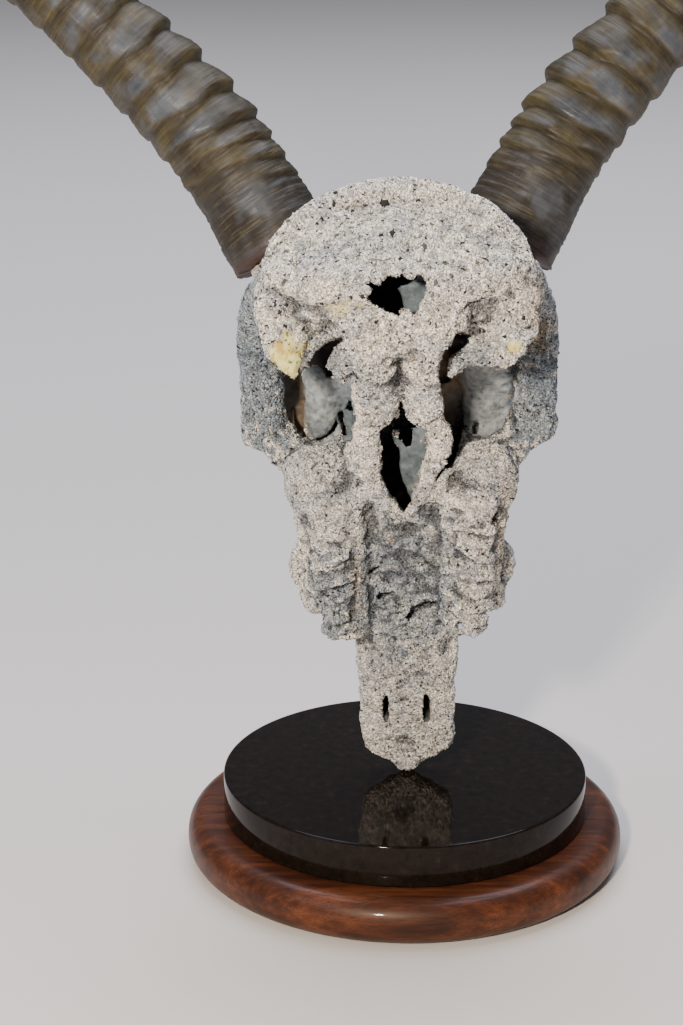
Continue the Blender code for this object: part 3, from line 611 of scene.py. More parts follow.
def addForms(clay, forms):
    for kind, *values in forms:
        if kind == "loft":
            addLoft(clay, *values)
        elif kind == "prism":
            addPrism(clay, *values)
        elif kind == "bar":
            addBar(clay, values[0])
        elif kind == "bars":
            for side in (1, -1):
                addBar(clay, [(side * s[0], *s[1:]) for s in values[0]])
        elif kind == "balls":
            boxy, tilt, balls = values
            for ballAt in balls:
                around = 28 if max(ballAt[3:]) > 20 else 18
                for side in (1, -1) if ballAt[0] else (1,):
                    addBall(clay, (side * ballAt[0], *ballAt[1:]), boxy, tilt, around)


def addCrest(clay):
    # the rim round the arched back of the head
    rim = []
    for i in range(-8, 9):
        turn = math.radians(13 * i)
        rim.append((44.5 * math.sin(turn), 11 + 27 * math.cos(turn), 248.5 + 18.6 * math.cos(turn), 4.5, 4.5, 4.5))
    addBar(clay, rim)


toothRow = {
    "start": 89.0, "lengths": (9.0, 10.5, 10.5, 13.0, 14.0, 13.0), "inner": 20.0, "outer": 34.5, "drop": 10.6,
    "ridges": {
        1: [(93, 1.5, 1.6), (99.5, 2.5, 2.0), (106, 2.5, 1.7), (113.5, 3.5, 2.3), (124, 6.0, 2.2), (134.5, 8.0, 2.3),
            (139.5, 6.0, 1.6), (147, 4.0, 1.9)],
        -1: [(95, 2.0, 1.6), (102, -1.5, 1.7), (113, 3.5, 1.8), (122, 0.5, 1.6), (133, 4.0, 2.2)],
    },
}


def addTeeth(clay):
    middle = (toothRow["inner"] + toothRow["outer"]) / 2
    half = (toothRow["outer"] - toothRow["inner"]) / 2
    drop = toothRow["drop"]
    for side in (1, -1):
        z = toothRow["start"]
        for i, length in enumerate(toothRow["lengths"]):
            small = min(1, 0.72 + 0.14 * i)
            centre = side * (middle - (1 - small) * 4)
            for lobe in (0.27, 0.73):
                place = (centre, 3 - drop / 2, z + length * lobe)
                addBall(clay, (*place, half * small, 3 + drop / 2, length * 0.30), 3.2)
            addBall(clay, (centre, -1, z + length / 2, (half + 1) * small, 9, length * 0.56), 3.2)
            z += length
        # the row's rounded lower end, and a soft slope from its inner side to the palate
        addBar(clay, [(side * 20.5, -4.5, 91, 5, 5.5, 6), (side * 27, -6.5, 93, 5.5, 6, 5)])
        addBar(clay, [(side * 18.5, -2.5, 94, 4.5, 5, 5), (side * 19, -2.5, 156, 4.5, 5, 5)], pitch=3.0)


def addToothRidges(clay):
    # enamel ridges that slant over the rows, thick with crust: (z, slant, half thickness)
    for side, ridges in toothRow["ridges"].items():
        for i, (z, slant, thick) in enumerate(ridges):
            wave = 1.2 * math.sin(2.3 * i + side)
            inward = 3.0 * (1 - min(1, (z - 90) / 20))      # the first teeth are smaller
            addBar(clay, [(side * (21.5 + wave), -10.6, z + slant / 2, 1.8, 2.0, thick * 0.8),
                          (side * (28.0 - inward / 2), -12.3, z, 2.0, 2.4, thick),
                          (side * (32.4 - wave - inward), -9.8, z - slant / 2, 1.7, 2.4, thick * 0.9)], pitch=1.3)


def clayObject(name, clay):
    return quickMesh(name, np.concatenate(clay.points) * mm, np.concatenate(clay.triangles))


def fuse(obj, voxel):
    remesh = obj.modifiers.new("fuse", "REMESH")
    remesh.mode = "VOXEL"
    remesh.voxel_size = voxel * mm
    finishModifier(obj, remesh)


def cutAway(obj, cutter, kind="DIFFERENCE"):
    cut = obj.modifiers.new("cut", "BOOLEAN")
    cut.operation = kind
    cut.solver = "MANIFOLD"
    cut.object = cutter
    finishModifier(obj, cut)
    bpy.data.objects.remove(cutter)


def soften(obj, times):
    smooth = obj.modifiers.new("soften", "SMOOTH")
    smooth.iterations = times
    finishModifier(obj, smooth)


def joinInto(obj, other):
    pick(obj)
    other.select_set(True)
    bpy.ops.object.join()


def keepLargest(obj):
    # drops every loose shell but the largest
    triangles = trianglesOf(obj)
    label = np.arange(len(obj.data.vertices))
    while True:
        low = label[triangles].min(1)
        before = label.copy()
        for corner in range(3):
            np.minimum.at(label, triangles[:, corner], low)
        label = label[label]
        if (label == before).all():
            break
    kinds, counts = np.unique(label, return_counts=True)
    wrong = label != kinds[counts.argmax()]
    if wrong.any():
        bm = bmesh.new()
        bm.from_mesh(obj.data)
        bm.verts.ensure_lookup_table()
        bmesh.ops.delete(bm, geom=[bm.verts[i] for i in np.flatnonzero(wrong)], context="VERTS")
        bm.to_mesh(obj.data)
        bm.free()


def sortFaces(obj):
    # the cuts leave the faces in another order on each run, and the chips are laid in that order
    faces = []
    for face in obj.data.polygons:
        around = list(face.vertices)
        first = around.index(min(around))
        faces.append(around[first:] + around[:first])
    points = pointsOf(obj)
    obj.data.clear_geometry()
    obj.data.from_pydata(points, [], sorted(faces))


hornAt = {"rim": (42.3, 85.0, 207.0), "length": 0.62, "rimRadius": 0.0209, "tipRadius": 0.003}
hornSweep = [(0.00, 28.0, 20.0), (0.03, 31.5, 18.0), (0.055, 37.5, 16.0), (0.08, 43.0, 14.5), (0.11, 45.5, 12.0),
             (0.14, 47.0, 10.0), (0.18, 45.5, 8.0), (0.26, 31.0, 6.0), (0.35, 13.0, 10.0), (0.45, 1.0, 24.0),
             (0.54, -6.0, 40.0), (0.62, -9.0, 52.0)]


def hornDirection(side, length):
    # which way a horn runs at a length from its rim; it shares the skull's lean aside
    lengths, outs, fores = zip(*hornSweep)
    out = math.radians(float(np.interp(length, lengths, outs)))
    fore = math.radians(float(np.interp(length, lengths, fores)))
    upright = Vector((side * math.sin(out), math.cos(out) * math.sin(fore), math.cos(out) * math.cos(fore)))
    return Matrix.Rotation(math.radians(pose["aside"]), 3, "Y") @ upright


def hornSeat(side):
    # a cone that ends the bone under the horn's rim
    along = (atPose.inverted().to_3x3() @ hornDirection(side, 0.0)).normalized()
    centre = Vector((side * hornAt["rim"][0], *hornAt["rim"][1:])) * mm + along * 0.0297
    deselectAll()
    bpy.ops.mesh.primitive_cone_add(vertices=48, radius1=0.032, radius2=0.040, depth=0.060, location=centre,
                                    rotation=along.to_track_quat("Z", "X").to_euler())
    return bpy.context.object


# two slits in the beak: middle, and half width, depth and height
slits = [((-8.0, 1.0, 36.8), (1.25, 7.6, 7.8)), ((8.8, 1.0, 36.6), (1.6, 7.6, 8.2))]


def slitCutter():
    clay = Clay()
    for middle, half in slits:
        addBall(clay, (*middle, *half), 3.2, around=24)
    return clayObject("slits", clay)


beak = {"aside": 1.2, "aside to": (78, 100), "narrower": 0.04, "narrower to": (40, 62)}


def leanBeak(obj):
    # the beak stands a little to one side of the middle
    points = pointsOf(obj) / mm
    points[:, 0] *= 1 - beak["narrower"] * (1 - fade(points[:, 2], *beak["narrower to"]))
    points[:, 0] += beak["aside"] * (1 - fade(points[:, 2], *beak["aside to"]))
    putPoints(obj, points * mm)


def toWorld(points):
    return points @ poseTurn.T + poseShift


def makeSkull():
    clay = Clay()
    for forms in bones.values():
        addForms(clay, forms)
    addCrest(clay)
    addTeeth(clay)
    skin = clayObject("skull_skin", clay)
    fuse(skin, skull["voxel"])
    clay = Clay()
    for forms in hollows.values():
        addForms(clay, forms)
    hollow = clayObject("hollow", clay)
    fuse(hollow, skull["hollowVoxel"])
    cutAway(skin, hollow)
    soften(skin, skull["softenings"][0])
    clay = Clay()
    for forms in inner.values():
        addForms(clay, forms)
    addToothRidges(clay)
    joinInto(skin, clayObject("inner", clay))
    fuse(skin, skull["voxel"])
    for form in notches.values():
        clay = Clay()
        addPrism(clay, *form, swell=skull["notchSwell"])
        cutAway(skin, clayObject("notch", clay))
    leanBeak(skin)
    cutAway(skin, slitCutter())
    for side in (1, -1):
        cutAway(skin, hornSeat(side))
    keepLargest(skin)
    sortFaces(skin)
    soften(skin, skull["softenings"][1])
    return skin


skin = makeSkull()
print("skull skin:", len(skin.data.polygons), "faces")


# where the crust differs, and where light and shade are painted on it

# ellipsoids of (x, y, z and three radii), some with a strength; noise frays their edges
zones = {
    "yellow": [(-38.8, -13, 232.5, 7.5, 9, 8.0), (40.0, -13.5, 236, 2.6, 4, 2.8), (-16.5, -8, 253, 8.0, 8, 4.6, 0.5)],
    "ochre": [(10, 31, 257, 4.6, 6, 2.4, 0.8), (-27, 14, 252, 2.8, 6, 1.8, 0.8),
              (-41.6, -13.3, 237.7, 1.7, 3, 2.6, 0.8),
              (-5.1, 0.3, 131.2, 2.6, 3, 1.6, 0.35)],
    "bare": [(4, 24, 162, 10.0, 14, 31), (6, 12, 244, 16, 13.5, 16), (0, 36, 222, 26, 24, 20),
             (-18, 31, 164, 4.2, 8, 12)],
    # shaded: painted bluish shade, as strong as each strength, on the palate, tooth rows, cheek arches, jaws, window
    # walls and about the skull base
    "shaded": [(0, -3, 104, 25, 12, 36, 0.68), (0, -3, 124, 23, 12, 32, 0.5), (-54, 28, 200, 14, 28, 52, 0.95),
               (52, 26, 182, 12, 16, 29, 0.92), (56, 26, 216, 7, 20, 24, 0.6), (-30, -8, 108, 11, 10, 28, 0.8),
               (0, -2, 60, 21, 9, 14, 0.36), (-25, -2, 225, 9, 9, 11, 0.6), (26, -4, 227, 9, 8, 8, 0.6),
               (-9, -8, 214, 9, 10, 12, 0.45), (30, -8, 100, 9, 8, 14, 0.3), (-20, 32, 178, 6, 9, 16, 0.6),
               (-32, 8, 158, 22, 18, 21, 0.4), (31, 8, 156, 20, 16, 18, 0.26),
               (28, -12, 112, 10, 9, 24, 0.1), (-29, -8, 148, 12, 10, 12, 0.25)],
    "wall": [(33.5, 38, 178, 12, 12, 30), (-29, 31, 177, 10.5, 8, 26), (-19, 32, 174, 6, 8, 18)],
    # painted shadow, brown, on the far walls of the two windows
    "brownShadow": [(17.5, 42, 176, 7.6, 14, 28), (-40, 47, 161, 6.5, 16, 15)],
    # painted brown shadow beside the right process, along the right rim and jaw, beside the left tooth row and under
    # the left gap
    "warmShadow": [(49.5, 22, 209, 6, 9, 9, 0.9), (47.5, 0, 243, 2.2, 10, 10, 0.6), (39, 4, 140, 5, 14, 22, 0.4),
              (-18, -6, 112, 3, 7, 24, 0.4), (-24, 20, 206, 8, 12, 5, 0.5)],
    # deep: painted near black in the deepest cavities and in the beak's slits, as painted shade
    "deep": [(-29, 58, 176, 12, 9, 14), (-26, 48, 192, 9, 8, 8), (-42, 52, 163, 6, 16, 9, 0.6),
             (-8, 8.5, 35.5, 3, 9, 12), (8.8, 8.5, 35.3, 3, 9, 12)],
}

# the seed of each kind of zone, and how frayed its edge is
zoneEdges = {"bare": (1, 0.35), "yellow": (3, 0.35), "ochre": (4, 0.35), "shaded": (6, 0.5), "wall": (7, 0.15),
             "brownShadow": (9, 0.2), "deep": (9, 0.2), "warmShadow": (10, 0.35)}


def inZone(points, name):
    # 1 inside, 0 outside, with a frayed edge
    share = np.zeros(len(points))
    seed, fray = zoneEdges[name]
    near = roughField(points, 3.5, seed) * fray
    for zone in zones[name]:
        away = np.linalg.norm((points - np.array(zone[:3])) / np.array(zone[3:6]), axis=1)
        strength = zone[6] if len(zone) > 6 else 1.0
        share = np.maximum(share, strength * (1 - fade(away + near, 0.8, 1.15)))
    return share


# lines pressed into the crust or raised from it: (points, half width, depth), raised where depth is under 0
creases = {
    "palate seam": ([(0.8, -2, 56), (1.4, -2, 70), (0.6, -1, 86)], 1.1, 0.9),
    "palate pit rim": ([(5, 0, 99.5), (9, 0.5, 102), (13.5, 0, 101.5)], 1.8, -1.0),
    "palate hole left": ([(-17, -2, 145), (-16.6, -2, 142)], 1.5, 1.8),
    "palate hole right": ([(15.3, -1, 138.5), (15.8, -1, 135.5)], 1.5, 1.8),
    "palate step 1": ([(-16.8, -4, 99.6), (-8.9, -1.4, 96.1), (-2.7, -0.8, 90.8), (0.5, -0.1, 85.4)], 1.0, 1.2),
    "palate step 2": ([(-3.3, -0.3, 99.2), (2.2, -0.4, 103.5), (8.5, -0.7, 103.6), (11.6, -1.1, 103.9)], 1.0, 1.0),
    "palate step 3": ([(-13.4, -1.5, 107.4), (-14.8, -4.6, 114.9), (-11.6, -1.2, 115.8), (-7, 0.3, 114.2),
                       (-5.5, 0.3, 109.8)], 1.0, 1.2),
    "palate step 4": ([(-9.8, -0.4, 132), (-2.1, 1.6, 125.6), (5.5, 0.8, 121.8), (10.1, -0.7, 120.9)], 1.6, 1.1),
    "palate step 5": ([(-11.1, 0, 142.3), (-3.5, 1.6, 138.4), (2.6, 1.3, 140.5)], 1.4, 1.0),
    "palate step 6": ([(-0.8, 0.9, 112.2), (7, -0.2, 112), (14.6, -3.2, 116.7)], 1.4, 1.1),
    "palate step 7": ([(-10.7, 0.6, 80.6), (-1.2, 0.1, 76.2), (6.8, 0.1, 78.1)], 1.2, 0.9),
    "left seam": ([(-36, 8, 262), (-42, 2, 252), (-45, 0, 243)], 1.3, 1.1),
    "process groove": ([(27.8, -6, 250.5), (24.1, -9.6, 251.7), (21.1, -14.6, 251.3), (19.6, -17.4, 248.5),
                        (19.4, -14, 243)], 1.1, 2.0),
    "left process groove": ([(-22.9, -14.1, 248.2), (-27.3, -5.4, 242), (-31, -4, 243)], 1.8, 1.6),
    "rim line": ([(47.3, 5.4, 248), (46.7, -3.6, 246.1), (46.6, -8.3, 239.2)], 0.9, 1.1),
    "crest groove": ([(40, 12, 260), (44.5, 9, 250), (46.5, 10, 242)], 1.1, 1.2),
    "rim trough": ([(-35, 17.6, 258.5), (-25, 26.2, 263.2), (-14.2, 31.3, 266), (0, 32.9, 266.1), (14, 29.9, 265.1),
                    (25.7, 23.9, 262.9), (36.8, 19.5, 258.8)], 5.6, -2.5),
    "middle groove": ([(-0.4, -17.5, 239.5), (-0.3, -10, 228), (-0.3, -3.7, 216.6), (0.3, -3, 204.4)], 1.2, 1.2),
    "left hollow": ([(-17, -12, 228), (-13.8, -13.5, 225), (-8.3, -7, 214.9)], 3.2, 1.4),
    "left hollow above": ([(-13.6, -19.3, 239.7), (-6.8, -17.1, 232.3), (-2.5, -5, 218)], 2.6, 1.2),
    "right hollow": ([(4.4, -17.3, 237.4), (8.5, -19.3, 237), (11.3, -19.5, 238.9)], 2.4, 1.2),
    "under left lump": ([(-15.2, -2.5, 192.1), (-8.6, -2.5, 190.5), (-3.7, -2.5, 189.5)], 1.2, 1.8),
    "under right lump": ([(5.7, -2.5, 190.5), (8.9, -2.5, 191.2), (13.2, -2.8, 193.6)], 1.2, 1.6),
    "left lump": ([(-9.9, -5.5, 204.4), (-7, -5, 202)], 5.0, -0.8),
    "right lump": ([(4.6, -4.4, 206.7), (8.8, -5.6, 205.7)], 5.0, -0.7),
    "below the foramen": ([(-16.1, -18.3, 248.6), (-9.2, -16.9, 248.1), (-1, -16.9, 246.1)], 1.2, 1.2),
    "wall spot": ([(33, 33.5, 180.1), (36.2, 34, 175.2)], 1.1, 1.4),
    "right row 1": ([(16.8, -6.2, 136.5), (19.8, -7.1, 133), (22.8, -8.8, 130.4), (26.5, -10.3, 130.6)], 1.0, 2.0),
    "right row 2": ([(27.8, -13.6, 140), (30.9, -13, 136.1), (34, -11.9, 130.8)], 0.9, 1.9),
    "right row 3": ([(17.5, -7, 124.6), (20.6, -8.3, 121.5), (24.9, -13.9, 124.6), (31.8, -12.3, 123.9)], 1.1, 2.2),
    "right row 4": ([(19.1, -7.4, 109.8), (23.5, -12.6, 114.8), (28, -14.1, 113.9), (34, -7, 107)], 1.1, 2.1),
    "right row 5": ([(20.4, -12, 107.8), (25, -13.2, 106.7), (32.9, -10.5, 106.9)], 0.9, 1.6),
    "right row 6": ([(20.5, -8.3, 140.5), (24.8, -12.6, 140.2), (27.8, -13.6, 140)], 0.8, 1.3),
    "right row 7": ([(22.2, -9, 95.9), (26.6, -13.9, 100.7), (31.3, -11.9, 100.7)], 0.9, 1.4),
    "right row 8": ([(19, -6.7, 153.5), (23.3, -10, 154.3), (27.8, -10.3, 156.4)], 1.2, 1.1),
    "right row 9": ([(18.9, -8.2, 148.7), (23.2, -12.8, 148.8), (29.3, -11.6, 148.4)], 1.2, 1.2),
    "left row 1": ([(-32.9, -10.2, 129.7), (-26.7, -11.2, 131.5), (-21.4, -8.5, 130.8)], 0.9, 1.0),
    "left row 2": ([(-33.1, -10.3, 124.5), (-26.9, -12.3, 127.3), (-20.8, -8.6, 125.5)], 1.0, 1.5),
    "left row 3": ([(-34.8, -10.7, 119.6), (-31.7, -12.3, 119.9), (-27.1, -12.6, 121.1),
                    (-21.7, -11.6, 119.9)], 0.9, 0.9),
    "left row 4": ([(-32.7, -8.9, 113.3), (-29.4, -13.9, 117), (-25.6, -13.9, 116), (-22.6, -11.8, 115.8)], 1.0, 1.4),
    "left row 5": ([(-33.6, -11.4, 109.3), (-27.4, -13.2, 109.8), (-23.5, -11.7, 110.4)], 0.9, 1.0),
    "left row 6": ([(-33.8, -11.9, 103.2), (-30.7, -13.5, 103.6), (-26, -12.3, 104.5)], 0.9, 1.2),
    "left row 7": ([(-32.5, -11.7, 97.5), (-26.3, -10.8, 95.2), (-21.6, -8.9, 95.3)], 0.9, 0.9),
    "left row 8": ([(-32.4, -9, 141.1), (-26.4, -10.2, 139.9), (-21.9, -10, 139.6)], 1.4, 1.1),
    "left row side": ([(-19, -10, 137.4), (-18.2, -7.3, 120.9), (-19.2, -7.5, 107.1), (-18.7, -3, 92)], 1.2, 1.4),
}


def pressCreases(points):
    depth = np.zeros(len(points))
    for line, wide, deep in creases.values():
        near = np.full(len(points), 1e9)
        for a, b in zip(np.array(line[:-1], float), np.array(line[1:], float)):
            share = np.clip(((points - a) @ (b - a)) / ((b - a) @ (b - a)), 0, 1)
            near = np.minimum(near, np.linalg.norm(points - a - share[:, None] * (b - a), axis=1))
        depth += deep * np.exp(-(near / wide) ** 2)
    return depth


def lessWhere(values, name):
    low, high, less = skull[name]
    return 1 - less * fade(values, low, high)


def hollowness(obj, points, normals):
    # about 0 on a ridge, 0.5 on an even place, 1 in a hollow
    edges = np.empty(len(obj.data.edges) * 2, dtype=np.int32)
    obj.data.edges.foreach_get("vertices", edges)
    a, b = edges.reshape(-1, 2).T
    count = len(points)
    near = np.maximum(np.bincount(a, minlength=count) + np.bincount(b, minlength=count), 1)
    told = np.full(count, 0.5)
    for rounds, weight in skull["hollows"]:
        smooth = points.copy()
        for _ in range(rounds):
            for axis in range(3):
                line = smooth[:, axis]
                total = np.bincount(a, line[b], count) + np.bincount(b, line[a], count)
                smooth[:, axis] = total / near
        told += weight * ((smooth - points) * normals).sum(1)
    calm = lessWhere(points[:, 2], "calmBack") * lessWhere(points[:, 1], "calmTop")
    return np.clip(0.5 + (told - 0.5) * calm, 0, 1)


def roughenSkin(obj):
    # uneven lie of the crust, then into the world, clear of the granite
    points, normals = pointsOf(obj) / mm, normalsOf(obj)
    bare = inZone(points, "bare")
    height, wide = skull["lumps"]
    lift = height * roughField(points, wide, 2)
    height, wide = skull["pits"]
    lift += height * roughField(points, wide, 5)
    middle, radii, height, wide = skull["frayed"]
    frayed = 1 - fade(np.linalg.norm((points - middle) / radii, axis=1), 0.8, 1.1)
    lift += frayed * height * roughField(points, wide, 8)
    lift *= (1 - 0.8 * bare) * lessWhere(points[:, 2], "evenBack")
    points = points + normals * (lift - pressCreases(points))[:, None]
    putNumber(obj, "bare", bare)
    for name in ("yellow", "ochre", "shaded", "wall", "brownShadow", "deep", "warmShadow"):
        putNumber(obj, name, inZone(points, name))
    hollow = hollowness(obj, points, normals)
    putNumber(obj, "hollow", hollow)
    placed = toWorld(points * mm)
    placed[:, 2] = np.maximum(placed[:, 2], skull["lowest"] + 0.0003)
    putPoints(obj, placed)
    return points, hollow


skinLocal, skinHollow = roughenSkin(skin)
print("crust laid uneven")


# stone chips

chips = {
    "spacing": 0.66,                    # millimetres between them
    "tries": 5,                         # spots tried for each one laid
    "half": (0.47, 0.34, 0.25),         # half of a chip's length, width and thickness
    "spread": 0.28,
    "tilt": 24.0,
    "out": 0.10,                        # how far a chip stands out of the skin
    "pieces": 8,
    "shards": 0.7,                      # share of chips with four faces
    "patch": 0.003,                     # width of a chip's patch on the unwrap
    "large": 0.009,                     # share of dark chips of two to three times the size
    "seat": (1.4, 24),                  # none this far under a horn's rim, within this radius
    # none inside the braincase (middle, radii, below this z) and the nose (low and high corner), out of sight
    "braincase": ((0, 36, 222), (30, 28, 24), 240),
    "nose": ((-16, 14, 84), (16, 60, 150)),
    # stones set in the back of the head: (x, y, z, times a chip's size)
    "stones": [(-3.7, 30.1, 264.8, 5.5), (-1.3, 11.3, 267.9, 3.6), (-27.1, 21.7, 263, 3), (-22, 30.8, 266.6, 2.6),
               (-42.3, -3.1, 249.1, 3), (15.6, 18.8, 266.9, 2.4), (-33.6, 22, 260.4, 2.6), (22.1, 7.7, 264.5, 2.4),
               (-15, 28.3, 263.9, 2.6), (7.7, 32.3, 266.2, 2.4), (-39.5, -2.9, 248.9, 2.2), (37, 1.4, 260, 2.4)],
}


shardCorners = np.array([(1, 1, 1), (1, -1, -1), (-1, 1, -1), (-1, -1, 1)], float)
stoneCorners = np.array([(1, 0, 0), (-1, 0, 0), (0, 1, 0), (0, -1, 0), (0, 0, 1), (0, 0, -1)], float)


def chipForms(count, sharp):
    # corner points of shards with four faces or stones with eight, each with its corners knocked about
    if sharp:
        corner = shardCorners * 0.92
        faces = [(0, 1, 2), (0, 3, 1), (0, 2, 3), (1, 3, 2)]
    else:
        corner = stoneCorners * 1.08
        faces = [(0, 2, 4), (2, 1, 4), (1, 3, 4), (3, 0, 4), (2, 0, 5), (1, 2, 5), (3, 1, 5), (0, 3, 5)]
    points = np.repeat(corner[None], count, 0)
    points = points * rng.uniform(0.72, 1.22, (count, len(corner), 1)) + rng.uniform(-0.16, 0.16, points.shape)
    return points, np.array(faces)


def unwrapOf(obj):
    # the place of each triangle's three corners on an unwrap of the shape
    pick(obj)
    bpy.ops.object.mode_set(mode="EDIT")
    bpy.ops.mesh.select_all(action="SELECT")
    bpy.ops.uv.smart_project(angle_limit=math.radians(66), island_margin=0.001)
    bpy.ops.object.mode_set(mode="OBJECT")
    mesh = obj.data
    layer = mesh.uv_layers.active
    flat = np.empty(len(mesh.loops) * 2, dtype=np.float32)
    layer.data.foreach_get("uv", flat)
    mesh.calc_loop_triangles()
    corners = np.empty(len(mesh.loop_triangles) * 3, dtype=np.int32)
    mesh.loop_triangles.foreach_get("loops", corners)
    mesh.uv_layers.remove(layer)
    return flat.reshape(-1, 2)[corners].reshape(-1, 3, 2)


def putPatches(obj, patches):
    # a small patch of the picture for each chip, given at its corner points
    layer = obj.data.uv_layers.new(name="OFBake")
    corners = np.empty(len(obj.data.loops), dtype=np.int32)
    obj.data.loops.foreach_get("vertex_index", corners)
    layer.data.foreach_set("uv", patches[corners].astype(np.float32).ravel())


def spotsOn(points, triangles, unwrapped, spacing):
    # places spread evenly over a skin, with its normal and its place on the unwrap at each
    a, b, c = (points[triangles[:, i]] for i in range(3))
    cross = np.cross(b - a, c - a)
    size = np.linalg.norm(cross, axis=1)
    count = int(size.sum() / 2 * chips["tries"] / spacing ** 2)
    chosen = rng.choice(len(triangles), count, p=size / size.sum())
    u, v = rng.random(count), rng.random(count)
    flip = u + v > 1
    u[flip], v[flip] = 1 - u[flip], 1 - v[flip]
    spots = a[chosen] + (b[chosen] - a[chosen]) * u[:, None] + (c[chosen] - a[chosen]) * v[:, None]
    cells = np.floor(spots / spacing).astype(np.int64)
    _, keep = np.unique(cells, axis=0, return_index=True)
    keep.sort()
    first, second, third = (unwrapped[chosen[keep], i] for i in range(3))
    roots = first + (second - first) * u[keep, None] + (third - first) * v[keep, None]
    return spots[keep], cross[chosen[keep]] / size[chosen[keep], None], chosen[keep], roots


def nearHornSeat(spots):
    # the flat cut under each horn's rim carries no chips
    near = np.zeros(len(spots), bool)
    for side in (1, -1):
        along = np.array((atPose.inverted().to_3x3() @ hornDirection(side, 0.0)).normalized())
        away = spots - np.array((side * hornAt["rim"][0], *hornAt["rim"][1:]))
        height = away @ along
        aside = np.linalg.norm(away - height[:, None] * along, axis=1)
        near |= (height > -chips["seat"][0]) & (aside < chips["seat"][1])
    return near


def makeChips(points, triangles, unwrapped, skinHollow):
    spots, normals, chosen, roots = spotsOn(points, triangles, unwrapped, chips["spacing"])
    hollow = skinHollow[triangles[chosen]].mean(1)
    middle, radii, top = chips["braincase"]
    hidden = (np.linalg.norm((spots - middle) / radii, axis=1) < 1) & (spots[:, 2] < top)
    low, high = chips["nose"]
    hidden |= ((spots > low) & (spots < high)).all(1)
    # no chips on the smooth walls, the bare bone, the painted brown shadow and the painted dark
    smooth = np.max([inZone(spots, name) for name in ("wall", "brownShadow", "deep", "bare")], axis=0) * 1.3
    worn = inZone(spots, "yellow") * 0.92
    keep = ~hidden & ~nearHornSeat(spots) & (rng.random(len(spots)) > np.maximum(worn, smooth))
    # none in the slits of the beak
    for middle, half in slits:
        away = (np.abs(spots - middle) / (half[0] + 0.3, half[1], half[2] + 0.3)) ** 3.2
        keep &= away.sum(1) > 1
    order = rng.permutation(np.flatnonzero(keep))
    spots, normals, hollow, roots = spots[order], normals[order], hollow[order], roots[order]
    count = len(spots)
    # a frame on the skin for each, turned and tilted at random
    helper = rng.normal(size=(count, 3))
    first = np.cross(normals, helper)
    first /= np.linalg.norm(first, axis=1)[:, None]
    tilt = np.radians(chips["tilt"]) * rng.normal(size=count)
    up = normals * np.cos(tilt)[:, None] + np.cross(first, normals) * np.sin(tilt)[:, None]
    second = np.cross(up, first)
    size = np.exp(rng.normal(0, chips["spread"], count)).clip(0.6, 1.9)
    tone = rng.random(count)
    share = count // chips["pieces"] + 1
    large = (np.arange(count) % share) >= share * (1 - chips["large"])
    size[large] = rng.uniform(1.7, 3.0, large.sum()) * np.where(spots[large][:, 2] > 238, 1.0, 0.65)
    tone[large] *= 0.08
    eightFaced = np.flatnonzero((np.arange(count) % share) >= share * (chips["shards"] + 0.01))
    for stone in chips["stones"]:
        nearest = eightFaced[np.linalg.norm(spots[eightFaced] - stone[:3], axis=1).argmin()]
        size[nearest], tone[nearest] = stone[3], 0.01
    marks = {name: inZone(spots, name) for name in ("yellow", "ochre", "shaded", "warmShadow")}
    marks.update(tone=tone, hollow=hollow)
    half = np.array(chips["half"]) * size[:, None] * rng.uniform(0.8, 1.25, (count, 3))
    made = []
    for number in range(chips["pieces"]):
        part = slice(number * share, min(count, (number + 1) * share))
        total = part.stop - part.start
        shards = int(total * chips["shards"])
        clouds, skins, patches, start = [], [], [], 0
        for sharp, some in ((True, slice(part.start, part.start + shards)),
                            (False, slice(part.start + shards, part.stop))):
            forms, faces = chipForms(some.stop - some.start, sharp)
            spread = shardCorners if sharp else stoneCorners
            patches.append((roots[some][:, None] + spread[None, :, :2] * chips["patch"] / 2).reshape(-1, 2))
            forms = forms * half[some][:, None, :]
            cloud = (forms[..., 0:1] * first[some][:, None] + forms[..., 1:2] * second[some][:, None]
                     + forms[..., 2:3] * up[some][:, None])
            cloud += (spots[some] + normals[some] * chips["out"])[:, None]
            rows = np.arange(len(forms))[:, None, None] * forms.shape[1]
            skins.append((faces[None] + rows + start).reshape(-1, 3))
            clouds.append(cloud.reshape(-1, 3))
            start += cloud.shape[0] * cloud.shape[1]
        placed = toWorld(np.concatenate(clouds) * mm)
        placed[:, 2] = np.maximum(placed[:, 2], skull["lowest"])
        obj = quickMesh("crust_chips_%d" % (number + 1), placed, np.concatenate(skins))
        putPatches(obj, np.concatenate(patches).clip(0, 1))
        corners = np.concatenate((np.full(shards, 4), np.full(total - shards, 6)))
        for name, values in marks.items():
            putNumber(obj, name, np.repeat(values[part], corners))
        made.append(obj)
    print("stone chips:", count, "in", len(made), "pieces of", len(made[0].data.polygons), "faces")
    return made


chipPieces = makeChips(skinLocal, trianglesOf(skin), unwrapOf(skin), skinHollow)

